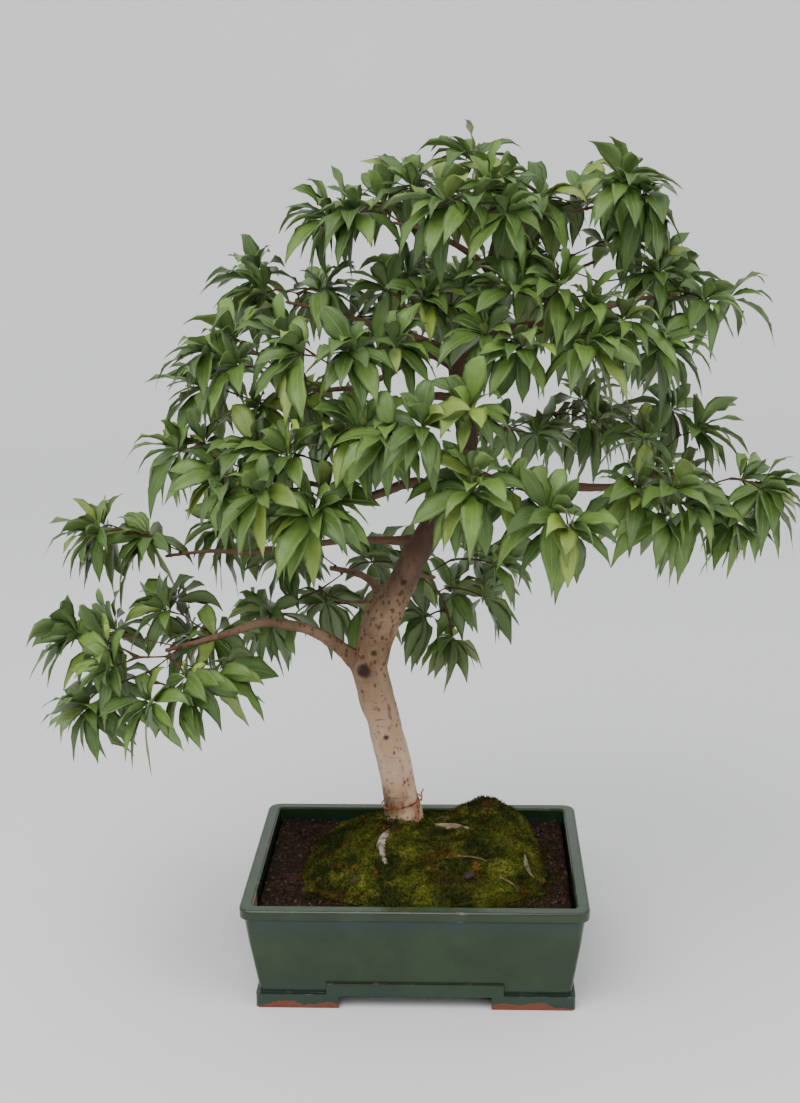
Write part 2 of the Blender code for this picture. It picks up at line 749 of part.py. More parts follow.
def moss_outline(share):
    """Points round the mound at a share of its reach, inside the pot's wall."""
    inside = inner_inset(SOIL_TOP)
    left = -POT_LENGTH / 2 + inside + MOSS_MARGIN_LEFT
    right = POT_LENGTH / 2 - inside - MOSS_MARGIN_RIGHT
    front = -POT_WIDTH / 2 + inside + MOSS_MARGIN_FRONT
    back = POT_WIDTH / 2 - inside - MOSS_MARGIN_BACK
    squareness = 0.75
    points = []
    for side in range(MOSS_SIDES):
        angle = 2 * math.pi * side / MOSS_SIDES
        cosine = math.copysign(abs(math.cos(angle)) ** squareness, math.cos(angle))
        sine = math.copysign(abs(math.sin(angle)) ** squareness, math.sin(angle))
        ripple = 1 - 0.03 * (1 + math.sin(5 * angle))
        x = (left + right) / 2 + share * ripple * cosine * (right - left) / 2
        y = (front + back) / 2 + share * ripple * sine * (back - front) / 2
        points.append((x, y))
    return points


def moss():
    """Cushion of moss over the roots, thickest round the trunk and at the right shoulder."""
    bottom = SOIL_TOP + CLEARANCE
    rings = [[Vector((x, y, bottom)) for x, y in moss_outline(1.0)]]
    for share in MOSS_RINGS:
        outline = moss_outline(share)
        rings.append([Vector((x, y, bottom + MOSS_EDGE + moss_height(x, y))) for x, y in outline])
    bm = bmesh.new()
    loft(bm, rings)
    cushion = finish_object("moss_mound", bm, MOSS, smooth_angle=60)
    boolean(cushion, "roots", root_space("moss_roots"), "DIFFERENCE")
    return cushion


# ---- wood ----
def wood():
    """Trunk, roots and branches, grown together as one solid."""
    trunk = tube("trunk_and_branches", [in_tree(row) for row in TRUNK], TRUNK_SIDES, BARK, steps=1)
    limbs = [
        tube("limb_" + name, [in_tree(row) for row in route], BRANCH_SIDES, BARK, steps=2)
        for name, route in {**ROOTS, **BRANCHES}.items()
    ]
    boolean(trunk, "limbs", gather("limbs", limbs), "UNION")
    return trunk


def trunk_at(height):
    """Middle and radius of the trunk at a height over the soil."""
    rows = [Vector(in_tree(row)) for row in TRUNK]
    z = SOIL_TOP + height
    for low, high in zip(rows, rows[1:]):
        if low[2] <= z <= high[2]:
            found = low.lerp(high, (z - low[2]) / (high[2] - low[2]))
            return found.to_3d(), found[3]
    return rows[-1].to_3d(), rows[-1][3]


def copper_wire():
    """Loose turn of wire round the foot of the trunk, with one end standing off."""
    centre, radius = trunk_at(WIRE_HEIGHT)
    lowest = trunk_at(WIRE_HEIGHT - WIRE_RISE)[1]
    turn_radius = max(radius, lowest) + WIRE_RADIUS + 4 * CLEARANCE
    steps = 18
    points = []
    for step in range(steps + 1):
        share = step / steps
        angle = -0.3 + 2 * math.pi * WIRE_TURNS * share
        out = turn_radius + 3 * WIRE_RADIUS * max(0.0, share - 1 / WIRE_TURNS) * WIRE_TURNS
        drop = WIRE_RISE * (math.cos(angle) * 0.5) + 3 * WIRE_RADIUS * share
        points.append(centre + Vector((out * math.cos(angle), out * math.sin(angle), drop)))
    heading = (points[-1] - points[-2]).normalized() + (points[-1] - centre).normalized()
    points.append(points[-1] + heading.normalized() * WIRE_TAIL)
    data = bpy.data.curves.new("copper_wire", "CURVE")
    data.dimensions = "3D"
    data.bevel_depth = WIRE_RADIUS
    data.bevel_resolution = 1
    data.use_fill_caps = True
    spline = data.splines.new("POLY")
    spline.points.add(len(points) - 1)
    for target, point in zip(spline.points, points):
        target.co = (*point, 1.0)
    data.materials.append(material(COPPER))
    obj = bpy.data.objects.new("copper_wire", data)
    bpy.context.scene.collection.objects.link(obj)
    return obj


# ---- foliage ----
class Foliage:
    """Grows the sprays, and keeps each twig and leaf clear of everything already there."""

    def __init__(self, obstacles):
        self.obstacles = [(None, tree) for tree in obstacles]
        self.leaves = []
        self.draw = random.Random(SEED)

    def clear(self, tree):
        return not any(tree.overlap(other) for _, other in self.obstacles)

    def clear_leaf(self, leaf):
        """Tests a leaf's blade against its own spray, and the whole leaf against the rest."""
        for spray, other in self.obstacles:
            if (leaf.blade if spray == leaf.spray else leaf.whole).overlap(other):
                return False
        for other in self.leaves:
            if not leaf.near(other):
                continue
            if leaf.spray == other.spray:
                met = leaf.blade.overlap(other.blade)
            else:
                met = leaf.whole.overlap(other.whole)
            if met:
                return False
        return True

    def jitter(self, size):
        return Vector([self.draw.uniform(-size, size) for _ in range(3)])


class LeafSpace:
    """The room that a leaf needs: its blade alone, and the whole of it from its twig face."""

    def __init__(self, spray, face, shape):
        self.spray = spray
        base = face.calc_center_median()
        corners, tip = leaf_points(base, *shape, slack=LEAF_GAP)
        foot = [corner.co + (corner.co - base).normalized() * LEAF_GAP for corner in face.verts]
        self.blade = self.closed([base + shape[0] * 0.004] * 4, corners, tip)
        self.whole = self.closed(foot, matched(foot, corners), tip)
        points = [*foot, *corners, tip]
        self.low = [min(point[axis] for point in points) for axis in range(3)]
        self.high = [max(point[axis] for point in points) for axis in range(3)]

    @staticmethod
    def closed(foot, corners, tip):
        """Search tree of the skin from the foot past the widest part to the tip."""
        faces = []
        for i in range(4):
            j = (i + 1) % 4
            faces += [(i, j, 4 + j), (i, 4 + j, 4 + i), (4 + i, 4 + j, 8)]
        return BVHTree.FromPolygons([*foot, *corners, tip], faces)

    def near(self, other):
        return all(
            self.low[axis] <= other.high[axis] and self.high[axis] >= other.low[axis]
            for axis in range(3)
        )


def extrude(bm, face):
    """Extrudes one face and gives the new face, whose corners keep their order."""
    return bmesh.ops.extrude_discrete_faces(bm, faces=[face])["faces"][0]


def grow_stem(bm, face, points, radius):
    """Extrudes a face along points, and gives the side faces of each stretch and the end."""
    stretches = []
    centre = face.calc_center_median()
    offsets = [corner.co - centre for corner in face.verts]
    for index, point in enumerate(points):
        ahead = points[min(index + 1, len(points) - 1)]
        behind = points[index - 1] if index else centre
        tangent = (ahead - behind).normalized()
        face = extrude(bm, face)
        offsets = [(o - tangent * o.dot(tangent)).normalized() * radius for o in offsets]
        for corner, offset in zip(face.verts, offsets):
            corner.co = point + offset
        sides = [f for edge in face.edges for f in edge.link_faces if f is not face]
        stretches.append(sides)
    return stretches, face


def leafy_run(start, end, bow):
    """Points from start to end with a short stretch for a side shoot and two for leaves."""
    middle = start.lerp(end, 0.5) + bow
    along = (end - middle).normalized()
    collar = middle - (middle - start).normalized() * LEAF_SPACING
    return [collar, middle, end - along * 2 * LEAF_SPACING, end - along * LEAF_SPACING, end]


def facing(faces, heading):
    """The face, of those still in the mesh, that looks most along a heading."""
    return max(faces, key=lambda face: face.normal.dot(heading) if face.is_valid else -2)


def grow_leafy_stem(foliage, bm, face, start, end, bow, side):
    """Grows a stem with one side shoot, and gives what carries leaves: faces, heading, count."""
    stretches, cap = grow_stem(bm, face, leafy_run(start, end, bow), TWIG_RADIUS)
    along = (end - start).normalized()
    across = along.cross(UP).normalized() * side
    lean = UP * foliage.draw.uniform(-0.2, 0.25)
    heading = (along * 0.55 + across * 0.85 + lean).normalized()
    foot = facing(stretches[1], heading)
    begin = foot.calc_center_median()
    tip = begin + heading * SIDE_SHOOT_LENGTH * TREE_SIZE * foliage.draw.uniform(0.8, 1.15)
    half_way = begin.lerp(tip, 0.5) + bow * 0.5
    shoot, _ = grow_stem(bm, foot, [half_way, tip - heading * LEAF_SPACING, tip], TWIG_RADIUS)
    return [
        (stretches[-2:], along, LEAVES_AT_TIP),
        (shoot[-1:], heading, LEAVES_ON_SIDE_SHOOT),
    ]


def attachment(branch, tips):
    """Where a spray leaves its branch, and the branch's radius there."""
    route = BRANCHES.get(branch, TRUNK[-4:])
    rows = smooth_route([in_tree(row) for row in route], 6)
    target = sum(tips, Vector()) / len(tips)
    first = len(rows) // 3
    nearest = min(range(first, len(rows)), key=lambda i: (rows[i].to_3d() - target).length)
    back = max(first, nearest - 3)
    return rows[back].to_3d(), rows[back][3]


def spray_stems(foliage, name, branch, tips):
    """The twig of one spray as an open bmesh, with the stretches that will carry leaves."""
    joint, radius = attachment(branch, tips)
    heart = sum(tips, Vector()) / len(tips)
    for attempt in range(60):
        loose = 0.0005 * attempt
        target = heart if len(tips) > 1 else tips[0]
        heading = (target - joint).normalized()
        start = joint + heading * (radius + TWIG_GAP + loose)
        bm = bmesh.new()
        turn = heading.to_track_quat("Z", "Y").to_matrix().to_4x4()
        place = Matrix.Translation(start + heading * TWIG_RADIUS) @ turn
        bmesh.ops.create_cone(
            bm,
            cap_ends=True,
            segments=3,
            radius1=TWIG_RADIUS,
            radius2=TWIG_RADIUS,
            depth=2 * TWIG_RADIUS,
            matrix=place,
        )
        seed_face = max(bm.faces, key=lambda face: face.normal.dot(heading))
        bow = foliage.jitter(loose) + UP * 0.004
        leafy = []
        if len(tips) == 1:
            leafy += grow_leafy_stem(foliage, bm, seed_face, start, tips[0], bow, 1)
        else:
            fork = start.lerp(heart, 0.45) + bow
            collar = fork - (fork - start).normalized() * LEAF_SPACING
            stretches, face = grow_stem(bm, seed_face, [collar, fork], TWIG_RADIUS)
            foot = facing(stretches[1], (tips[1] - fork).normalized())
            leafy += grow_leafy_stem(foliage, bm, face, fork, tips[0], bow, 1)
            leafy += grow_leafy_stem(foliage, bm, foot, fork, tips[1], bow, -1)
        tree = BVHTree.FromBMesh(bm)
        if foliage.clear(tree):
            break
        if attempt < 59:
            bm.free()
    foliage.obstacles.append((name, tree))
    return bm, leafy


def leaf_shape(foliage, face, twig_heading, canopy_centre):
    """Direction, upper side and size of a leaf that leaves the given twig face."""
    draw = foliage.draw
    spread = math.radians(draw.uniform(30, 75))
    outward = face.normal * math.sin(spread) + twig_heading * math.cos(spread)
    heading = (outward + foliage.jitter(0.25) - UP * draw.uniform(0.0, 0.4)).normalized()
    away = (face.calc_center_median() - canopy_centre).normalized()
    light = UP * 0.9 + away * 0.8 + foliage.jitter(0.3)
    upper = (light - heading * light.dot(heading)).normalized()
    length = LEAF_LENGTH * draw.uniform(0.78, 1.12)
    return heading, upper, length, LEAF_WIDTH * length / LEAF_LENGTH


def leaf_points(base, heading, upper, length, width, slack=0.0):
    """The four corners round the widest part of a leaf, and its drooping tip."""
    side = upper.cross(heading)
    middle = base + heading * length * 0.45 + upper * length * 0.05
    half = width / 2 + slack
    thick = LEAF_THICKNESS / 2 + slack
    corners = [
        middle + side * half + upper * LEAF_FOLD,
        middle + upper * thick,
        middle - side * half + upper * LEAF_FOLD,
        middle - upper * thick,
    ]
    tip = base + heading * (length * 0.98 + slack) - UP * length * 0.12
    return corners, tip


def matched(foot, corners):
    """The corners in the order that joins each to the foot's own corner with the least twist."""
    centre = sum(foot, Vector()) / 4
    middle = sum(corners, Vector()) / 4
    own = [point - centre for point in foot]
    wanted = [point - middle for point in corners]
    turn = max(range(4), key=lambda k: sum(own[i].dot(wanted[(i + k) % 4]) for i in range(4)))
    return [corners[(index + turn) % 4] for index in range(4)]


def add_leaf(bm, face, shape):
    """Extrudes a twig face to the widest part of a leaf and pokes that out to its tip."""
    corners, tip = leaf_points(face.calc_center_median(), *shape)
    blade = extrude(bm, face)
    places = matched([corner.co.copy() for corner in blade.verts], corners)
    for corner, place in zip(blade.verts, places):
        corner.co = place
    poked = bmesh.ops.poke(bm, faces=[blade])
    poked["verts"][0].co = tip


def dress_spray(foliage, spray, bm, leafy, canopy_centre):
    """Puts a tuft of leaves on each leafy end of a spray."""
    for stretches, heading, most in leafy:
        spots = [face for sides in stretches for face in sides if len(face.verts) == 4]
        foliage.draw.shuffle(spots)
        grown = 0
        for face in spots:
            for _ in range(14 if grown < most else 0):
                shape = leaf_shape(foliage, face, heading, canopy_centre)
                leaf = LeafSpace(spray, face, shape)
                if shape[0].dot(face.normal) > 0.25 and foliage.clear_leaf(leaf):
                    add_leaf(bm, face, shape)
                    foliage.leaves.append(leaf)
                    grown += 1
                    break


def sprays(obstacles):
    """Every spray of leaves, twigs first and leaves after, so that no leaf meets a twig."""
    foliage = Foliage(obstacles)
    canopy_centre = place_in_tree((0.0, 0.0, 0.40))
    grown = []
    for branch, groups in SPRAYS.items():
        for number, group in enumerate(groups, start=1):
            name = f"foliage_{branch}_{number}"
            foliage.draw.seed(f"{name} {SEED}")
            tips = [place_in_tree(point) for point in group]
            grown.append((name, *spray_stems(foliage, name, branch, tips)))
    for name, bm, leafy in grown:
        bmesh.ops.recalc_face_normals(bm, faces=bm.faces)
        foliage.draw.seed(f"{name} leaves {SEED}")
        dress_spray(foliage, name, bm, leafy, canopy_centre)
        finish_object(name, bm, LEAF, smooth_angle=20)


# ---- small things on the moss ----
def settle(obj, place, turn, ground):
    """Lays an object on the ground at a place, raised until it only just clears it."""
    above = Vector((place[0], place[1], POT_HEIGHT * 3))
    hits = [tree.ray_cast(above, -UP) for tree in ground]
    point, normal = max((hit[:2] for hit in hits if hit[0]), key=lambda found: found[0].z)
    lie = UP.rotation_difference(normal).to_matrix().to_4x4()
    lie = lie @ Matrix.Rotation(math.radians(turn), 4, "Z")
    obj.data.calc_loop_triangles()
    corners = [vertex.co.copy() for vertex in obj.data.vertices]
    faces = [tuple(triangle.vertices) for triangle in obj.data.loop_triangles]
    lift = 0.0
    met = True
    while met:
        lift += CLEARANCE
        where = Matrix.Translation(point + normal * lift) @ lie
        own = BVHTree.FromPolygons([where @ corner for corner in corners], faces)
        met = any(own.overlap(tree) for tree in ground)
    obj.data.transform(where)
    return own


def stone():
    _, _, size = STONE
    bm = bmesh.new()
    bmesh.ops.create_icosphere(bm, subdivisions=2, radius=0.5)
    draw = random.Random(SEED)
    for corner in bm.verts:
        corner.co *= draw.uniform(0.86, 1.08)
    stretch = Matrix.Translation((0.0, 0.0, size[2] / 2)) @ Matrix.Diagonal((*size, 1.0))
    bmesh.ops.transform(bm, matrix=stretch, verts=bm.verts)
    return finish_object("stone", bm, PEBBLE)


def bark_chip():
    _, _, size = BARK_CHIP
    bm = bmesh.new()
    outline = bmesh.ops.create_circle(bm, cap_ends=True, segments=9, radius=0.5)["verts"]
    draw = random.Random(SEED + 1)
    for corner in outline:
        corner.co *= draw.uniform(0.8, 1.05)
    bmesh.ops.scale(bm, vec=(size[0], size[1], 1.0), verts=outline)
    top = bmesh.ops.extrude_face_region(bm, geom=list(bm.faces))["geom"]
    rim = [item for item in top if isinstance(item, bmesh.types.BMVert)]
    bmesh.ops.translate(bm, vec=(0.0, 0.0, size[2]), verts=rim)
    return finish_object("bark_chip", bm, DARK_BARK, smooth_angle=30)


def fallen_leaf():
    """Curled dead leaf: a pointed strip, bent along its length."""
    _, _, (length, width, thickness) = FALLEN_LEAF
    bm = bmesh.new()
    stations = 6
    rings = []
    for step in range(stations + 1):
        share = step / stations
        half = width / 2 * max(0.12, math.sin(math.pi * share**0.8))
        x = length * (share - 0.5)
        lift = thickness + 0.004 * (2 * share - 1) ** 2
        section = ((0, -half, lift), (0, 0, lift - thickness), (0, half, lift), (0, 0, lift))
        rings.append([Vector((x, y, z)) for _, y, z in section])
    loft(bm, rings)
    return finish_object("fallen_leaf", bm, DRY_LEAF)


def fallen_twig(name, length, radius):
    ends = (
        (-length / 2, 0.0, radius, radius),
        (-length / 6, length * 0.05, radius, radius),
        (length / 6, length * 0.06, radius * 1.5, radius * 0.85),
        (length / 2, 0.0, radius, radius * 0.6),
    )
    return tube(name, ends, 6, DRY_WOOD, steps=2)


def litter(ground):
    """The few loose things that lie on the moss."""
    ground = list(ground)
    laid = [(stone(), *STONE[:2]), (bark_chip(), *BARK_CHIP[:2])]
    laid.append((fallen_leaf(), *FALLEN_LEAF[:2]))
    for name, (place, turn, length, radius) in TWIGS.items():
        laid.append((fallen_twig(name, length, radius), place, turn))
    for obj, place, turn in laid:
        ground.append(settle(obj, place, turn, ground))


def main():
    clear_scene()
    vessel = pot()
    mesh_places = (-DRAIN_SPACING / 2, DRAIN_SPACING / 2)
    for side, x in zip(("left", "right"), mesh_places):
        drain_mesh("drain_mesh_" + side, x)
    gravel(mesh_places)
    bed = soil()
    cushion = moss()
    timber = wood()
    wire = copper_wire()
    bpy.context.view_layer.update()
    solid = [surface(obj) for obj in (vessel, bed, cushion, timber, wire)]
    litter(solid)
    sprays(solid)


main()
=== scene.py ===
"""Dresses a potted bonsai: glazed pot, soil, moss, bark, leaves and litter."""

import json
import logging
import math
import random
from dataclasses import dataclass
from enum import Enum
from typing import Iterable, Optional, Sequence, Union

import bmesh
import bpy
from bmesh.types import BMesh, BMFace, BMVert
from bpy.types import Material, Node, NodeSocket, Object
from mathutils import Matrix, Vector, noise
from mathutils.bvhtree import BVHTree

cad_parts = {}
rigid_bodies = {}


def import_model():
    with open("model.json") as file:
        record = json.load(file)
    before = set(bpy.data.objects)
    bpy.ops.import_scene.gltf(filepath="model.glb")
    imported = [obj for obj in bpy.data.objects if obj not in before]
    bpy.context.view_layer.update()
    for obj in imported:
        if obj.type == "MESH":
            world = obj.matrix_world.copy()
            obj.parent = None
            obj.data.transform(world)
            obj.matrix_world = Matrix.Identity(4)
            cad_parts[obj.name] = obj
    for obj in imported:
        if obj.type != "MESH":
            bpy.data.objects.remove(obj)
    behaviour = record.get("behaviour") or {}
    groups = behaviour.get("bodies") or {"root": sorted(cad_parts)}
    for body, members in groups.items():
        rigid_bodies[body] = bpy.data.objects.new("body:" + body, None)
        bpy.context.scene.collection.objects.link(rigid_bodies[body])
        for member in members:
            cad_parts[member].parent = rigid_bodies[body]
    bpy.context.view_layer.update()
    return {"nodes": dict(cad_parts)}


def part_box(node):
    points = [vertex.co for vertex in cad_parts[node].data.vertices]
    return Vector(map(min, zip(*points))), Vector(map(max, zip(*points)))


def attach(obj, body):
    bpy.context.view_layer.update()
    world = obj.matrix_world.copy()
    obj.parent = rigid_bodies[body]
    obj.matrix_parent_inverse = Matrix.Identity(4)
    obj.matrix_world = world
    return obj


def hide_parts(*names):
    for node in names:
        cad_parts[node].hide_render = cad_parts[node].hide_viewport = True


for startup in list(bpy.data.objects):
    bpy.data.objects.remove(startup)

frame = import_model()
UP = Vector((0.0, 0.0, 1.0))
SEED = 23
log = logging.getLogger("bonsai")

Value = Union[NodeSocket, float, str, Sequence[float]]


class Slot(str, Enum):
    """Finish slots that the record names."""

    GLAZE = "glaze"
    SOIL = "soil"
    MOSS = "moss"
    BARK = "bark"
    LEAF = "leaf"
    COPPER = "copper"
    PEBBLE = "pebble"
    DARK_BARK = "dark_bark"
    DRY_LEAF = "dry_leaf"
    DRY_WOOD = "dry_wood"


# ---- tools for finishes ----
def tone(code: str) -> tuple[float, float, float, float]:
    """Turns a hex colour into linear red, green, blue and alpha.

    Args:
        code: six hex digits, as painters' charts give them.

    Returns:
        The colour as a shader socket takes it.
    """
    parts = [int(code[i : i + 2], 16) / 255 for i in (0, 2, 4)]
    red, green, blue = (
        part / 12.92 if part <= 0.04045 else ((part + 0.055) / 1.055) ** 2.4 for part in parts
    )
    return red, green, blue, 1.0


class Shader:
    """One material, whose node tree grows a step at a time."""

    def __init__(self, name: str, roughness: float, specular: float = 0.5) -> None:
        """Starts a material with a plain surface."""
        self.material: Material = bpy.data.materials.new(name)
        self.material.use_nodes = True
        self.tree = self.material.node_tree
        self.surface: Node = self.tree.nodes["Principled BSDF"]
        self.surface.inputs["Roughness"].default_value = roughness
        self.surface.inputs["Specular IOR Level"].default_value = specular
        self.place: NodeSocket = self.add("TexCoord", {}).outputs["Object"]
        self.normal: Optional[NodeSocket] = None

    def add(self, kind: str, sockets: dict[Union[str, int], Value], **settings: object) -> Node:
        """Adds a node.

        Args:
            kind: the node's type, without its prefix.
            sockets: what each input takes, a link or a constant.
            settings: the node's own properties.

        Returns:
            The new node.
        """
        node = self.tree.nodes.new(f"ShaderNode{kind}")
        for name, value in settings.items():
            setattr(node, name, value)
        for key, value in sockets.items():
            if isinstance(value, NodeSocket):
                self.tree.links.new(value, node.inputs[key])
            else:
                node.inputs[key].default_value = value
        return node

    def stretched(self, stretch: Sequence[float]) -> NodeSocket:
        """Gives the object coordinates, finer along an axis with a larger number."""
        return self.add("Mapping", {"Vector": self.place, "Scale": stretch}).outputs[0]

    def grain(
        self, scale: float, detail: float = 3.0, stretch: Sequence[float] = (1, 1, 1)
    ) -> NodeSocket:
        """Gives soft noise from 0 to 1.

        Args:
            scale: how many blots there are to a metre.
            detail: how many finer layers lie on it.
            stretch: how much finer it is along each axis.

        Returns:
            The noise.
        """
        sockets = {"Vector": self.stretched(stretch), "Scale": scale, "Detail": detail}
        return self.add("TexNoise", sockets).outputs[0]

    def cells(self, scale: float, stretch: Sequence[float] = (1, 1, 1)) -> NodeSocket:
        """Gives the distance to the middle of the nearest cell."""
        sockets = {"Vector": self.stretched(stretch), "Scale": scale}
        return self.add("TexVoronoi", sockets).outputs["Distance"]

    def between(self, value: Value, low: float, high: float) -> NodeSocket:
        """Turns a value into 0 at low and 1 at high, with a soft step between them."""
        sockets: dict = {"Value": value, "From Min": low, "From Max": high}
        return self.add("MapRange", sockets, interpolation_type="SMOOTHSTEP").outputs[0]

    def blend(self, factor: Value, first: Value, second: Value, share: float = 1.0) -> NodeSocket:
        """Mixes two colours, each of them a link or a hex code.

        Args:
            factor: 0 for the first colour and 1 for the second.
            first: the colour underneath.
            second: the colour that covers it.
            share: how much of the second shows at most.

        Returns:
            The mixed colour.
        """
        if share < 1.0:
            factor = self.times(factor, share)
        first, second = (tone(part) if isinstance(part, str) else part for part in (first, second))
        return self.add("Mix", {0: factor, 6: first, 7: second}, data_type="RGBA").outputs[2]

    def maths(self, operation: str, first: Value, second: Value = 0.0) -> NodeSocket:
        """Works out one sum on two values."""
        return self.add("Math", {0: first, 1: second}, operation=operation).outputs[0]

    def times(self, first: Value, second: Value) -> NodeSocket:
        """Multiplies two values."""
        return self.maths("MULTIPLY", first, second)

    def gloss(self, value: Value, span: float, least: float) -> NodeSocket:
        """Turns a value from 0 to 1 into a roughness that starts at the least."""
        sockets: dict = {0: value, 1: span, 2: least}
        return self.add("Math", sockets, operation="MULTIPLY_ADD").outputs[0]

    def axis(self, index: int) -> NodeSocket:
        """Gives one of the object coordinates."""
        return self.add("SeparateXYZ", {0: self.place}).outputs[index]

    def attribute(self, name: str) -> NodeSocket:
        """Gives one of the piece's own numbers."""
        return self.add("Attribute", {}, attribute_name=name).outputs["Fac"]

    def bump(self, height: Value, depth: float, strength: float = 1.0) -> None:
        """Raises the surface by a height, over any relief that it has already."""
        sockets: dict = {"Height": height, "Distance": depth, "Strength": strength}
        if self.normal:
            sockets["Normal"] = self.normal
        self.normal = self.add("Bump", sockets).outputs[0]

    def done(self, colour: NodeSocket, roughness: Optional[NodeSocket] = None) -> Material:
        """Joins the colour, the relief and the gloss to the surface.

        Args:
            colour: the finished colour.
            roughness: the gloss where it varies.

        Returns:
            The material.
        """
        self.tree.links.new(colour, self.surface.inputs["Base Color"])
        if roughness:
            self.tree.links.new(roughness, self.surface.inputs["Roughness"])
        if self.normal:
            self.tree.links.new(self.normal, self.surface.inputs["Normal"])
        return self.material


# ---- finishes ----
@dataclass(frozen=True)
class Glaze:
    """Runny olive glaze on dark clay, broken to brown on each arris, with a pale pink line there that is
    partly the glaze break and partly a painted glint.
    """

    body: str = "25391f"
    deep: str = "1d2e18"
    pool: str = "1b3836"
    rim: str = "344930"
    arris: str = "21120f"
    flash: str = "b9a09a"
    clay: str = "5a2c1c"
    clay_pale: str = "80452f"
    buff: str = "a58a68"
    pit: str = "171310"
    clay_line: float = 0.0080
    strip_low: float = 0.0110
    strip_spans: tuple[tuple[int, float, float], ...] = (
        (0, -0.1512, -0.1520), (1, -0.078, -0.084), (0, -0.1560, -0.1545), (1, -0.1135, -0.1115),
    )

    def strip(self, shader: Shader, edge: NodeSocket, height: float) -> NodeSocket:
        """Masks the strip that the glaze missed inside the front left corner.

        Args:
            shader: the material that it is for.
            edge: the height, made to wander.
            height: how high the rim stands.

        Returns:
            1 on the strip and 0 elsewhere.
        """
        mask = shader.between(edge, height - self.strip_low - 0.0005, height - self.strip_low + 0.0005)
        for index, start, end in (*self.strip_spans, (2, height - 0.0005, height - 0.0015)):
            mask = shader.times(mask, shader.between(shader.axis(index), start, end))
        return mask

    def material(self, height: float) -> Material:
        """Mixes the glaze.

        Args:
            height: how high the rim stands.

        Returns:
            The material.
        """
        shader = Shader("olive_glaze", 0.2)
        level = shader.axis(2)
        mottle = shader.between(shader.grain(22, 5), 0.38, 0.66)
        colour = shader.blend(mottle, self.deep, self.body)
        runs = shader.grain(60, 4, (1, 1, 0.22))
        pooled = shader.times(shader.between(level, height - 0.030, height - 0.012), runs)
        pooled = shader.times(pooled, 1.25)
        pooled = shader.times(pooled, shader.between(level, height - 0.0085, height - 0.0115))
        colour = shader.blend(pooled, colour, self.pool)
        ledge = shader.times(shader.between(level, 0.026, 0.019), shader.times(runs, 0.7))
        colour = shader.blend(ledge, colour, self.pool)
        top = shader.between(level, height - 0.0016, height - 0.0004)
        colour = shader.blend(top, colour, self.rim, 0.75)
        worn = shader.times(shader.attribute("arris"), shader.between(runs, 0.16, 0.34))
        colour = shader.blend(worn, colour, self.arris)
        # Pale pink line on the arris: partly the thin glaze break, partly a painted glint.
        bright = shader.times(shader.attribute("arris"), shader.between(runs, 0.58, 0.74))
        colour = shader.blend(bright, colour, self.flash, 0.45)
        pits = shader.between(shader.cells(85), 0.045, 0.03)
        pits = shader.times(pits, shader.between(shader.grain(14, 1), 0.5, 0.56))
        colour = shader.blend(pits, colour, self.pit)
        wander = shader.times(shader.between(shader.grain(38, 3, (1, 1, 0.05)), 0.3, 0.7), 0.0065)
        edge = shader.maths("ADD", level, wander)
        bare = shader.between(edge, self.clay_line + 0.0003, self.clay_line - 0.0003)
        grit = shader.grain(420, 4)
        raw = shader.blend(grit, self.clay, self.clay_pale)
        colour = shader.blend(bare, colour, raw)
        colour = shader.blend(self.strip(shader, edge, height), colour, self.buff, 0.85)
        shader.bump(shader.grain(9, 3), 0.0012, 0.5)
        shader.bump(shader.times(grit, bare), 0.0005, 0.6)
        shader.bump(shader.maths("SUBTRACT", 1.0, pits), 0.0006, 0.8)
        return shader.done(colour, shader.gloss(shader.maths("MAXIMUM", bare, worn), 0.55, 0.17))


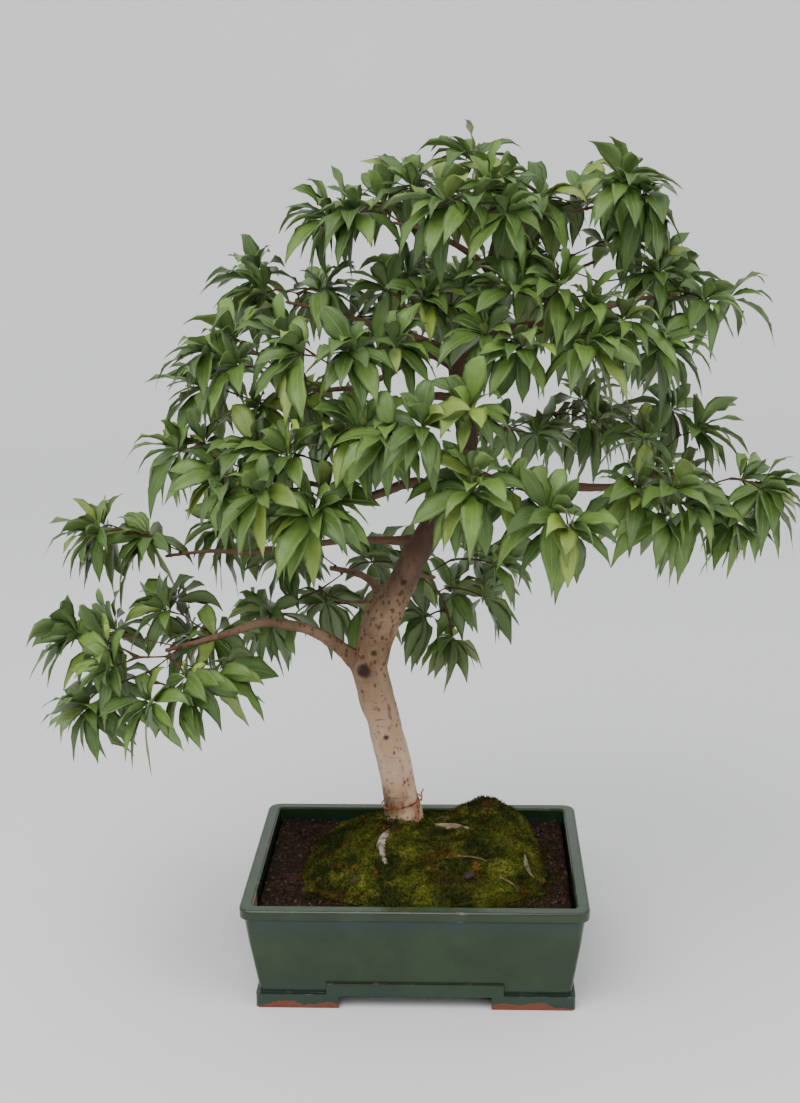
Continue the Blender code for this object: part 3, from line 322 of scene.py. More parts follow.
@dataclass(frozen=True)
class Bark:
    """Smooth pale bark with rusty lenticels, which turns red-brown and rough higher up."""

    pale: str = "967b61"
    tan: str = "745943"
    bone: str = "c9ac92"
    rust: str = "4f2d1e"
    mossy: str = "4d4936"
    high: str = "54392b"
    dark: str = "2c1d16"
    sand: str = "b39377"
    ochre: str = "8a5a36"
    umber: str = "3d2a20"
    twig: str = "664d3a"
    fleck: str = "4a2a1c"
    scar: str = "241a16"
    root: tuple[str, str] = ("7d6b5b", "b5a99e")
    moss: tuple[str, str] = ("30350f", "565c1c")

    def material(self) -> Material:
        """Mixes the bark."""
        shader = Shader("bonsai_bark", 0.72, 0.3)
        level = shader.axis(2)
        cloud = shader.between(shader.grain(34, 4, (1, 1, 0.5)), 0.36, 0.64)
        colour = shader.blend(cloud, self.tan, self.pale)
        foot = shader.between(shader.maths("ADD", level, shader.times(cloud, 0.03)), 0.32, 0.22)
        colour = shader.blend(foot, colour, shader.blend(cloud, self.sand, self.bone))
        low = shader.between(level, 0.185, 0.15)
        rust = shader.between(shader.grain(60, 3), 0.42, 0.54)
        rust = shader.times(rust, low)
        colour = shader.blend(rust, colour, self.ochre, 0.75)
        spots = shader.between(shader.cells(190, (1, 1, 0.7)), 0.40, 0.22)
        band = shader.between(level, 0.24, 0.36)
        crowd = shader.maths("ADD", shader.grain(60, 3), shader.times(band, 0.20))
        where = shader.between(crowd, 0.46, 0.60)
        spots = shader.times(spots, where)
        colour = shader.blend(spots, colour, self.rust, 0.8)
        green = shader.between(shader.grain(40, 3), 0.36, 0.48)
        left = shader.between(shader.axis(0), -0.013, -0.023)
        green = shader.times(shader.times(green, low), left)
        colour = shader.blend(green, colour, self.mossy, 0.8)
        wander = shader.times(shader.grain(12, 2), 0.10)
        raised = shader.between(shader.maths("ADD", level, wander), 0.38, 0.50)
        upper = shader.blend(cloud, self.umber, self.high)
        colour = shader.blend(raised, colour, upper)
        thin = shader.between(shader.attribute("girth"), 0.45, 0.15)
        colour = shader.blend(thin, colour, self.twig, 0.75)
        flecks = shader.between(shader.grain(210, 2, (0.5, 0.5, 2.4)), 0.63, 0.70)
        colour = shader.blend(flecks, colour, self.fleck, 0.6)
        cracks = shader.between(shader.grain(120, 5, (1, 1, 0.4)), 0.40, 0.32)
        colour = shader.blend(cracks, colour, self.dark, 0.5)
        colour = shader.blend(shader.attribute("knot"), colour, self.scar)
        blots = shader.between(shader.grain(150, 4), 0.4, 0.6)
        worn = shader.blend(blots, *self.root)
        colour = shader.blend(shader.attribute("root"), colour, worn)
        creep = shader.maths("ADD", shader.attribute("creep"), shader.grain(160, 3))
        cover = shader.blend(cloud, *self.moss)
        colour = shader.blend(shader.between(creep, 0.85, 1.15), colour, cover)
        shader.bump(shader.grain(130, 6, (1, 1, 0.3)), 0.0012, 0.7)
        shader.bump(flecks, 0.0004, 0.6)
        return shader.done(colour)


@dataclass(frozen=True)
class LeafSkin:
    """Evergreen leaf with a pale midrib, a paler underside and a soft sheen."""

    green: str = "4a6828"
    light: str = "6a8a3a"
    yellow: str = "8a9f46"
    young: str = "a9c24a"
    under: str = "76895a"
    rib: str = "8b9c62"
    shade: str = "1f3518"

    def material(self) -> Material:
        """Mixes the skin of a leaf."""
        shader = Shader("leaf_skin", 0.4, 0.5)
        across, along = (
            shader.add("SeparateXYZ", {0: shader.add("UVMap", {}, uv_map="UVMap").outputs[0]}).outputs[i]
            for i in (0, 1)
        )
        off = shader.maths("ABSOLUTE", shader.maths("SUBTRACT", across, 0.5))
        tint = shader.attribute("tint")
        colour = shader.blend(shader.between(tint, 0.25, 0.85), self.green, self.light)
        colour = shader.blend(shader.between(tint, 0.9, 1.0), colour, self.yellow)
        blot = shader.between(shader.grain(70, 3), 0.4, 0.68)
        colour = shader.blend(blot, colour, self.shade, 0.28)
        slant = shader.maths("SUBTRACT", shader.times(along, 11.0), shader.times(off, 7.0))
        wave = shader.maths("SINE", shader.times(slant, math.tau))
        veins = shader.between(wave, 0.80, 0.99)
        colour = shader.blend(veins, colour, self.rib, 0.10)
        colour = shader.blend(shader.attribute("youth"), colour, self.young)
        midrib = shader.between(off, 0.035, 0.008)
        colour = shader.blend(midrib, colour, self.rib, 0.42)
        under = shader.attribute("under")
        colour = shader.blend(under, colour, self.under, 0.6)
        shader.bump(shader.maths("SUBTRACT", shader.times(wave, 0.1), midrib), 0.0005, 0.6)
        return shader.done(colour, shader.gloss(shader.grain(160, 2), 0.16, 0.34))


@dataclass(frozen=True)
class Mottled:
    """Two tones in blots of one size, with a third in scattered patches, and a relief."""

    name: str
    first: str
    second: str
    patch: str
    blot: float
    grain: float
    relief: float
    roughness: float = 0.9
    specular: float = 0.2
    patch_share: float = 0.42
    shade: str = "17130d"

    def material(self) -> Material:
        """Mixes the finish."""
        shader = Shader(self.name, self.roughness, self.specular)
        fine = shader.grain(self.grain, 5)
        blots = shader.between(shader.grain(self.blot, 4), 0.38, 0.62)
        colour = shader.blend(blots, self.first, self.second)
        least = 1 - self.patch_share
        patches = shader.between(shader.grain(self.blot * 0.6, 3), least, least + 0.12)
        colour = shader.blend(patches, colour, self.patch)
        shade = shader.times(shader.between(fine, 0.56, 0.36), 0.55)
        colour = shader.blend(shade, colour, self.shade)
        shader.bump(fine, self.relief)
        return shader.done(colour)


@dataclass(frozen=True)
class Granular:
    """Grains whose own tint picks among dark, red, tan and pale grit."""

    name: str = "soil_grit"
    tones: tuple[str, ...] = ("241812", "3a2219", "5a2f20", "56382a", "67563f")
    shade: str = "1d1410"

    def material(self) -> Material:
        """Mixes the finish."""
        shader = Shader(self.name, 0.9, 0.2)
        tint = shader.attribute("tint")
        colour: Value = self.tones[0]
        for index, code in enumerate(self.tones[1:], start=1):
            edge = index / len(self.tones)
            colour = shader.blend(shader.between(tint, edge - 0.03, edge + 0.03), colour, code)
        fine = shader.grain(900, 3)
        colour = shader.blend(shader.between(fine, 0.6, 0.35), colour, self.shade)
        shader.bump(fine, 0.0004)
        return shader.done(colour)


@dataclass(frozen=True)
class MossSkin:
    """Short moss from bright to dark green, with brown and orange thin patches."""

    dark: str = "2f3512"
    green: str = "555c1c"
    bright: str = "7f8030"
    thin: str = "4e3a18"
    rust: str = "8a5a28"
    shade: str = "1d2110"

    def material(self) -> Material:
        """Mixes the moss."""
        shader = Shader("moss_pile", 0.95, 0.1)
        broad = shader.between(shader.grain(28, 4), 0.40, 0.62)
        colour = shader.blend(broad, self.dark, self.green)
        fresh = shader.between(shader.grain(46, 4), 0.52, 0.68)
        colour = shader.blend(fresh, colour, self.bright, 0.65)
        bare = shader.between(shader.grain(34, 5, (1, 1, 1.6)), 0.53, 0.66)
        colour = shader.blend(bare, colour, self.thin, 0.8)
        rust = shader.between(shader.grain(75, 4), 0.62, 0.72)
        colour = shader.blend(rust, colour, self.rust, 0.8)
        fine = shader.grain(420, 3)
        shade = shader.times(shader.between(fine, 0.55, 0.35), 0.6)
        colour = shader.blend(shade, colour, self.shade)
        shader.bump(fine, 0.0012)
        return shader.done(colour)


@dataclass(frozen=True)
class Copper:
    """Annealed copper wire, orange with brown tarnish."""

    orange: str = "c8743e"
    tarnish: str = "6e3a22"

    def material(self) -> Material:
        """Mixes the copper."""
        shader = Shader("annealed_copper", 0.35)
        shader.surface.inputs["Metallic"].default_value = 1.0
        dull = shader.between(shader.grain(180, 3), 0.42, 0.66)
        colour = shader.blend(dull, self.orange, self.tarnish)
        return shader.done(colour)


# ---- tools for meshes ----
def welded(node: str) -> BMesh:
    """Copies a frame node's mesh with its doubles merged."""
    bm = bmesh.new()
    bm.from_mesh(frame["nodes"][node].data)
    bmesh.ops.remove_doubles(bm, verts=bm.verts, dist=1e-5)
    return bm


def add_piece(
    name: str, bm: BMesh, finishes: Sequence[Material], slot: Slot, replaced: Iterable[str] = ()
) -> Object:
    """Turns a bmesh into a piece that rides on the tree's one body.

    Args:
        name: what the piece is called.
        bm: its shape, which is freed.
        finishes: its materials, in slot order.
        slot: the record's slot; it is not used.
        replaced: the frame nodes that it stands for.

    Returns:
        The piece.
    """
    mesh = bpy.data.meshes.new(name)
    bm.to_mesh(mesh)
    bm.free()
    for finish in finishes:
        mesh.materials.append(finish)
    mesh.shade_smooth()
    piece = bpy.data.objects.new(name, mesh)
    bpy.context.scene.collection.objects.link(piece)
    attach(piece, "root")
    if replaced:
        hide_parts(*replaced)
    log.info("%s: %d faces", name, len(mesh.polygons))
    return piece


def pressed(piece: Object, kind: str, **settings: object) -> None:
    """Runs one modifier over a piece and keeps its result as the mesh.

    Args:
        piece: the piece to work on.
        kind: the modifier's type.
        settings: the modifier's own properties.
    """
    modifier = piece.modifiers.new(kind.title(), kind)
    for name, value in settings.items():
        setattr(modifier, name, value)
    bpy.context.view_layer.update()
    graph = bpy.context.evaluated_depsgraph_get()
    before = piece.data
    after = bpy.data.meshes.new_from_object(piece.evaluated_get(graph))
    piece.modifiers.clear()
    piece.data = after
    name = before.name
    bpy.data.meshes.remove(before)
    after.name = name


def rounded(bm: BMesh, levels: int) -> BMesh:
    """Rounds a shape by subdividing it.

    Args:
        bm: the angular shape, which is freed.
        levels: how many times to subdivide it.

    Returns:
        The rounded shape.
    """
    mesh = bpy.data.meshes.new("angular")
    bm.to_mesh(mesh)
    bm.free()
    blank = bpy.data.objects.new("angular", mesh)
    bpy.context.scene.collection.objects.link(blank)
    pressed(blank, "SUBSURF", levels=levels, render_levels=levels)
    smooth = bmesh.new()
    smooth.from_mesh(blank.data)
    mesh = blank.data
    bpy.data.objects.remove(blank)
    bpy.data.meshes.remove(mesh)
    return smooth


class Heap:
    """Gathers many small shapes in batches, which keeps each operator quick."""

    batch = 60

    def __init__(self, *layers: str) -> None:
        """Starts empty, with a number layer of each name on the vertices."""
        self.layers = layers
        self.meshes: list[bpy.types.Mesh] = []
        self.count = 0
        self.start()

    def start(self) -> None:
        """Opens a new batch."""
        self.bm = bmesh.new()
        for name in self.layers:
            self.bm.verts.layers.float.new(name)

    def stop(self) -> None:
        """Puts the open batch by."""
        mesh = bpy.data.meshes.new("batch")
        self.bm.to_mesh(mesh)
        self.bm.free()
        self.meshes.append(mesh)

    def room(self) -> BMesh:
        """Gives the bmesh that the next shape goes into."""
        self.count += 1
        if self.count % self.batch == 0:
            self.stop()
            self.start()
        return self.bm

    def gathered(self) -> BMesh:
        """Gives all the shapes as one bmesh."""
        self.stop()
        whole = bmesh.new()
        for mesh in self.meshes:
            whole.from_mesh(mesh)
            bpy.data.meshes.remove(mesh)
        return whole


def tree_of(piece: Object) -> BVHTree:
    """Gives a search tree of a piece's surface."""
    bm = bmesh.new()
    bm.from_mesh(piece.data)
    tree = BVHTree.FromBMesh(bm)
    bm.free()
    return tree


def facing(place: Sequence[float], way: Vector, ahead: str = "Z") -> Matrix:
    """Gives the matrix that puts a shape at a place, with one axis along a way."""
    return Matrix.Translation(place) @ way.to_track_quat(ahead, "Y").to_matrix().to_4x4()


def ripple(point: Vector, scale: float, stretch: float = 1.0) -> float:
    """Gives noise from -1 to 1 at a point, stretched upwards."""
    return noise.noise(Vector((point.x, point.y, point.z / stretch)) * scale)


def write_number(piece: Object, name: str, values: Sequence[float]) -> None:
    """Keeps one number for each vertex of a piece."""
    layer = piece.data.attributes.new(name, "FLOAT", "POINT")
    layer.data.foreach_set("value", values)


# ---- the pot ----
@dataclass
class Pot:
    """Rectangular pot with a lipped rim, a stepped foot band and four feet."""

    arris_width: float = 0.0009
    flat_angle: float = math.radians(1.5)
    sharp_angle: float = math.radians(38)
    glaze: Glaze = Glaze()

    def build(self) -> None:
        """Builds the pot from the frame's own, with its arrises eased."""
        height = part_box("pot")[1].z
        bm = welded("pot")
        bmesh.ops.dissolve_limit(
            bm, angle_limit=self.flat_angle, verts=bm.verts, edges=bm.edges, delimit=set()
        )
        sharp = [edge for edge in bm.edges if edge.calc_face_angle(0.0) > self.sharp_angle]
        made = bmesh.ops.bevel(
            bm, geom=sharp, offset=self.arris_width, offset_type="OFFSET", segments=4,
            profile=0.5, affect="EDGES", material=-1, clamp_overlap=True,
        )
        eased = set(made["faces"])
        arris = bm.verts.layers.float.new("arris")
        for vert in bm.verts:
            vert[arris] = float(bool(eased) and all(face in eased for face in vert.link_faces))
        bmesh.ops.triangulate(bm, faces=[face for face in bm.faces if len(face.verts) > 4])
        piece = add_piece("glazed_pot", bm, [self.glaze.material(height)], Slot.GLAZE, ["pot"])
        pressed(piece, "WEIGHTED_NORMAL", weight=80, keep_sharp=False)


# ---- what fills the pot ----
@dataclass
class Ground:
    """Bed of soil with loose grit on it, over a hidden drainage layer."""

    voxel: float = 0.0028
    relief: float = 0.0012
    skin: float = 0.004
    cover: float = 0.002
    grains: int = 5200
    least: float = 0.0007
    most: float = 0.0026

    def build(self, moss: BVHTree) -> None:
        """Builds the bed and scatters the grit where no moss lies.

        Args:
            moss: search tree of the moss.
        """
        low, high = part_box("soil")
        finish = Mottled("dark_soil", "21160f", "2e1e15", "3f2619", 60, 500, 0.0015)
        bed = add_piece("soil_bed", welded("soil"), [finish.material()], Slot.SOIL, ["soil"])
        pressed(bed, "REMESH", mode="VOXEL", voxel_size=self.voxel)
        for vert in bed.data.vertices:
            if vert.normal.z > 0.6 and vert.co.z > high.z - self.skin:
                vert.co.z += ripple(vert.co, 70) * self.relief
        surface = tree_of(bed)
        heap = Heap("tint")
        draw = random.Random(SEED)
        for _ in range(self.grains):
            size = self.least + (self.most - self.least) * draw.random() ** 2.6
            start = Vector((
                draw.uniform(low.x + size, high.x - size), draw.uniform(low.y + size, high.y - size), 1.0
            ))
            hit = surface.ray_cast(start, -UP)[0]
            cover = moss.ray_cast(start, -UP)[0]
            if hit is None or (cover is not None and cover.z > hit.z + self.cover):
                continue
            angle = draw.uniform(0, math.tau)
            turn = Matrix.Rotation(angle, 4, Vector([draw.gauss(0, 1) for _ in range(3)]))
            broad, thick = draw.uniform(0.65, 1.0), draw.uniform(0.5, 0.9)
            shape = Matrix.Diagonal((size, size * broad, size * thick, 1.0))
            place = Matrix.Translation(hit + UP * size * 0.25) @ turn @ shape
            bm = heap.room()
            made = bmesh.ops.create_icosphere(bm, subdivisions=1, radius=1.0, matrix=place)
            tint = bm.verts.layers.float["tint"]
            share = draw.random()
            for vert in made["verts"]:
                vert[tint] = share
                vert.co += Vector([draw.uniform(-0.14, 0.14) * size for _ in range(3)])
        add_piece("soil_grit", heap.gathered(), [Granular().material()], Slot.SOIL)


@dataclass
class Moss:
    """Mound of moss with hummocks, a short pile, and stray tufts round its edge."""

    voxel: float = 0.0018
    tufts: int = 15000
    strays: int = 6000
    straying: float = 0.020
    margin: float = 0.004
    ripples: tuple[tuple[float, float], ...] = ((40, 0.0034), (105, 0.0022), (300, 0.0008))

    @staticmethod
    def tuft(heap: Heap, draw: random.Random, foot: Vector, normal: Vector) -> None:
        """Adds one tuft.

        Args:
            heap: what it is added to.
            draw: the source of its chances.
            foot: about where it stands.
            normal: about which way it points.
        """
        lean = (normal + Vector([draw.uniform(-0.6, 0.6) for _ in range(3)])).normalized()
        length = draw.uniform(0.0016, 0.0044)
        start = foot + Vector([draw.uniform(-0.001, 0.001) for _ in range(3)]) + lean * length * 0.35
        bmesh.ops.create_cone(
            heap.room(), cap_ends=True, segments=3, radius1=draw.uniform(0.0004, 0.0008), radius2=0.00008,
            depth=length, matrix=facing(start, lean),
        )

    def stray(self, heap: Heap, draw: random.Random, edge: Sequence[bpy.types.MeshVertex]) -> None:
        """Scatters tufts on the soil outside the mound, in clumps.

        Args:
            heap: what the tufts are added to.
            draw: the source of their chances.
            edge: the mound's lowest vertices.
        """
        low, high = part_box("soil")
        for vert in draw.choices(edge, k=self.strays):
            out = Vector((vert.normal.x, vert.normal.y, 0.0))
            reach = draw.random() ** 1.4 * self.straying * max(0.05, 0.5 + 1.3 * ripple(vert.co, 45))
            foot = vert.co + out.normalized() * reach
            foot.x = min(max(foot.x, low.x + self.margin), high.x - self.margin)
            foot.y = min(max(foot.y, low.y + self.margin), high.y - self.margin)
            foot.z = high.z + 0.0004
            self.tuft(heap, draw, foot, UP)

    def build(self) -> BVHTree:
        """Builds the mound and its pile.

        Returns:
            Search tree of the mound.
        """
        finish = MossSkin().material()
        mound = add_piece("moss_mound_soft", welded("moss_mound"), [finish], Slot.MOSS, ["moss_mound"])
        pressed(mound, "REMESH", mode="VOXEL", voxel_size=self.voxel)
        pressed(mound, "SMOOTH", factor=0.5, iterations=4)
        for vert in mound.data.vertices:
            if vert.normal.z > 0.1:
                vert.co += vert.normal * sum(ripple(vert.co, scale) * high for scale, high in self.ripples)
        mound.data.update()
        heap = Heap()
        draw = random.Random(SEED + 1)
        crown = [vert for vert in mound.data.vertices if vert.normal.z > 0.15]
        for vert in draw.choices(crown, k=self.tufts):
            self.tuft(heap, draw, vert.co, vert.normal)
        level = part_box("soil")[1].z
        self.stray(heap, draw, [
            vert for vert in mound.data.vertices
            if abs(vert.co.z - level - 0.001) < 0.003 and vert.normal.xy.length > 0.35
        ])
        add_piece("moss_pile", heap.gathered(), [finish], Slot.MOSS)
        return tree_of(mound)


# ---- the wood ----
@dataclass
class Wood:
    """Trunk, surface roots and branches in one bark, with pruning scars."""

    voxel: float = 0.0015
    foot: tuple[float, float] = (-0.014, 0.020)
    foot_reach: float = 0.024
    root_top: float = 0.150
    moss_reach: float = 0.010
    tuft_reach: float = 0.009
    scars: tuple[tuple[tuple[float, float, float], float], ...] = (
        ((-0.051, -0.003, 0.303), 0.0082),
        ((-0.040, -0.004, 0.322), 0.0036),
        ((-0.032, -0.006, 0.338), 0.0030),
        ((-0.030, 0.003, 0.232), 0.0030),
        ((-0.010, -0.010, 0.396), 0.0034),
    )

    def relief(self, point: Vector, girth: float) -> tuple[float, float]:
        """Gives how far the bark rises at a point, and how dark a scar is there.

        Args:
            point: a point of the surface.
            girth: how thick the wood is there.

        Returns:
            The rise and the darkness.
        """
        swell = ripple(point, 52, 1.8) * 0.055 + ripple(point, 150, 3.0) * 0.030
        rise = min(girth, 0.035) * swell
        if point.z > 0.40:
            rise += min(girth, 0.02) * ripple(point, 330, 2.0) * 0.022
        dark = 0.0
        for place, size in self.scars:
            away = (point - Vector(place)).length / size
            if away < 2.2:
                rise += size * (0.20 * math.exp(-((away - 1.15) / 0.35) ** 2))
                rise -= size * 0.30 * math.exp(-((away / 0.7) ** 2))
                dark = max(dark, 0.92 * math.exp(-((away / 0.95) ** 8)))
        return rise, dark

    def build(self, moss: BVHTree) -> BVHTree:
        """Builds the wood, with moss that creeps up the foot of the trunk.

        Args:
            moss: search tree of the moss.

        Returns:
            Search tree of its surface.
        """
        piece = add_piece(
            "trunk_bark", welded("trunk_and_branches"), [Bark().material()], Slot.BARK,
            ["trunk_and_branches"],
        )
        pressed(piece, "REMESH", mode="VOXEL", voxel_size=self.voxel)
        pressed(piece, "SMOOTH", factor=0.5, iterations=2)
        surface = tree_of(piece)
        verts = piece.data.vertices
        normals = [vert.normal.copy() for vert in verts]
        girths, knots, roots, creeps = [], [], [], []
        heap = Heap()
        draw = random.Random(SEED + 5)
        for vert, normal in zip(verts, normals):
            hit = surface.ray_cast(vert.co - normal * 0.0005, -normal, 0.06)
            girth = (hit[3] or 0.0) + 0.0005
            point = vert.co.copy()
            rise, dark = self.relief(point, girth)
            vert.co = point + normal * rise
            girths.append(min(1.0, girth / 0.03))
            knots.append(dark)
            away = (point.xy - Vector(self.foot)).length
            root = point.z < self.root_top and away > self.foot_reach
            bare, reach = (0.0, self.moss_reach)
            if root:
                bare, reach = (0.95, 0.0018) if point.x < 0.0 else (0.35, 0.0045)
            roots.append(bare)
            gap = moss.find_nearest(vert.co)[3] if point.z < self.root_top + self.moss_reach else 1.0
            creep = max(0.0, 1.0 - gap / reach)
            creeps.append(creep)
            if not root and gap < self.tuft_reach and draw.random() < 0.5 * creep:
                Moss.tuft(heap, draw, vert.co, normal + UP * 0.6)
        write_number(piece, "girth", girths)
        write_number(piece, "knot", knots)
        write_number(piece, "root", roots)
        write_number(piece, "creep", creeps)
        add_piece("moss_on_trunk", heap.gathered(), [bpy.data.materials["moss_pile"]], Slot.MOSS)
        piece.data.update()
        return tree_of(piece)


# ---- the leaves ----
class Leaf:
    """One leaf's base, widest point, tip and upper side."""

    arch = 0.07
    reach = 0.96
    droop = 0.15
    widest = 0.45

    def __init__(self, base: Vector, middle: Vector, tip: Vector, upper: Vector, width: float) -> None:
        """Keeps the leaf's own points."""
        self.base, self.middle, self.tip, self.width = base, middle, tip, width
        self.heading = (middle - base).normalized()
        self.upper = (upper - self.heading * upper.dot(self.heading)).normalized()
        self.length = (tip - base).length
        self.youth = 0.0

    @classmethod
    def grown(cls, base: Vector, heading: Vector, upper: Vector, length: float, width: float) -> "Leaf":
        """Grows a leaf from a base along a heading.

        Args:
            base: where it leaves the twig.
            heading: which way it points.
            upper: which way its upper side looks.
            length: how long it is.
            width: how wide it is.

        Returns:
            The leaf.
        """
        upper = (upper - heading * upper.dot(heading)).normalized()
        middle = base + heading * length * cls.widest + upper * length * cls.arch
        tip = base + heading * length * cls.reach - UP * length * cls.droop
        return cls(base, middle, tip, upper, width)

    def spine(self, along: float) -> Vector:
        """Gives the point of the midrib at a share of the leaf's length."""
        w = self.widest
        first = (along - w) * (along - 1) / w
        second = along * (along - 1) / (w * (w - 1))
        third = along * (along - w) / (1 - w)
        return self.base * first + self.middle * second + self.tip * third


class LeafMould:
    """Blank leaf that is bent into each leaf's own shape."""

    rows = (0.0, 0.07, 0.16, 0.30, 0.46, 0.62, 0.78, 0.91, 1.0)
    widths = (0.06, 0.08, 0.40, 0.84, 1.0, 0.95, 0.68, 0.26, 0.03)
    columns = 4
    rib_depth = 0.00035
    sheet_faces = [(at, at + 1, at + 4, at + 3) for at in (0, 1, 3, 4, 6, 7, 9, 10)]

    def __init__(self) -> None:
        """Makes the blank from a grid and its own underside, joined along the margin."""
        bm = bmesh.new()
        steps = len(self.rows) - 1
        bm.loops.layers.uv.new("UVMap")
        for name in ("under", "tint", "youth"):
            bm.verts.layers.float.new(name)
        mark = bm.verts.layers.float["under"]
        bmesh.ops.create_grid(bm, x_segments=self.columns, y_segments=steps, size=0.5, calc_uvs=True)
        top = list(bm.faces)
        copy = bmesh.ops.duplicate(bm, geom=[*bm.verts, *bm.edges, *top])["geom"]
        below = [item for item in copy if isinstance(item, BMFace)]
        bmesh.ops.reverse_faces(bm, faces=below)
        rim = [v for v in bm.verts if max(abs(v.co.x), abs(v.co.y)) > 0.499]
        under = {v for v in copy if isinstance(v, BMVert)}
        for vert in under:
            vert[mark] = 1.0
        bmesh.ops.remove_doubles(bm, verts=rim, dist=1e-5)
        for vert in bm.verts:
            if max(abs(vert.co.x), abs(vert.co.y)) > 0.499:
                vert[mark] = 0.5
        bm.verts.index_update()
        self.mesh = bpy.data.meshes.new("leaf_blank")
        bm.to_mesh(self.mesh)
        self.points = [
            (vert.co.x * 2, round((vert.co.y + 0.5) * steps), vert[mark]) for vert in bm.verts
        ]
        bm.free()

    def point(
        self, leaf: Leaf, across: float, along: float, width: float, habit: Sequence[float]
    ) -> Vector:
        """Places one spot of the leaf.

        Args:
            leaf: the leaf.
            across: -1 at one margin to 1 at the other.
            along: 0 at the base to 1 at the tip.
            width: the blade's width there as a share of its widest.
            habit: the leaf's twist, fold, waviness, phase and curl.

        Returns:
            The spot.
        """
        twist, fold, wave, phase, curl = habit
        centre = leaf.spine(along)
        tangent = (leaf.spine(min(1.0, along + 0.05)) - leaf.spine(max(0.0, along - 0.05))).normalized()
        lean = leaf.upper - tangent * leaf.upper.dot(tangent)
        lean.normalize()
        side = tangent.cross(lean)
        turn = twist * (along - 0.45)
        cos, sin = math.cos(turn), math.sin(turn)
        side, lean = side * cos + lean * sin, lean * cos - side * sin
        half = leaf.width / 2 * width
        lift = fold * half * abs(across) ** 1.4
        lift += wave * half * across * across * math.sin(along * 15 + phase + (2.0 if across < 0 else 0.0))
        hook = max(0.0, along - 0.72)
        return centre + side * across * half + lean * lift - UP * curl * hook * hook * leaf.length

    def cast(self, bm: BMesh, leaf: Leaf, draw: random.Random) -> None:
        """Adds a leaf to a spray.

        Args:
            bm: the spray.
            leaf: the leaf.
            draw: the source of its chances.
        """
        habit = (
            draw.uniform(-0.9, 0.9), draw.uniform(0.08, 0.36), draw.uniform(0.05, 0.26),
            draw.uniform(0, math.tau), draw.choice((-0.2, 0.4, 0.8, 1.4, 2.4)),
        )
        start = len(bm.verts)
        bm.from_mesh(self.mesh)
        bm.verts.ensure_lookup_table()
        tint, youth = bm.verts.layers.float["tint"], bm.verts.layers.float["youth"]
        share = draw.random()
        for index, (across, row, under) in enumerate(self.points):
            vert = bm.verts[start + index]
            vert.co = self.point(leaf, across, self.rows[row], self.widths[row], habit)
            if under == 1.0:
                vert.co -= leaf.upper * self.rib_depth
            vert[tint], vert[youth] = share, leaf.youth

    def sheet(self, leaf: Leaf) -> BVHTree:
        """Gives a coarse search tree of a leaf's blade."""
        habit = (0.0, 0.25, 0.0, 0.0, 0.8)
        spots = ((0.20, 0.5), (0.36, 0.92), (0.55, 1.0), (0.78, 0.6), (0.97, 0.08))
        points = [self.point(leaf, a, t, w, habit) for t, w in spots for a in (-1.0, 0.0, 1.0)]
        return BVHTree.FromPolygons(points, self.sheet_faces)


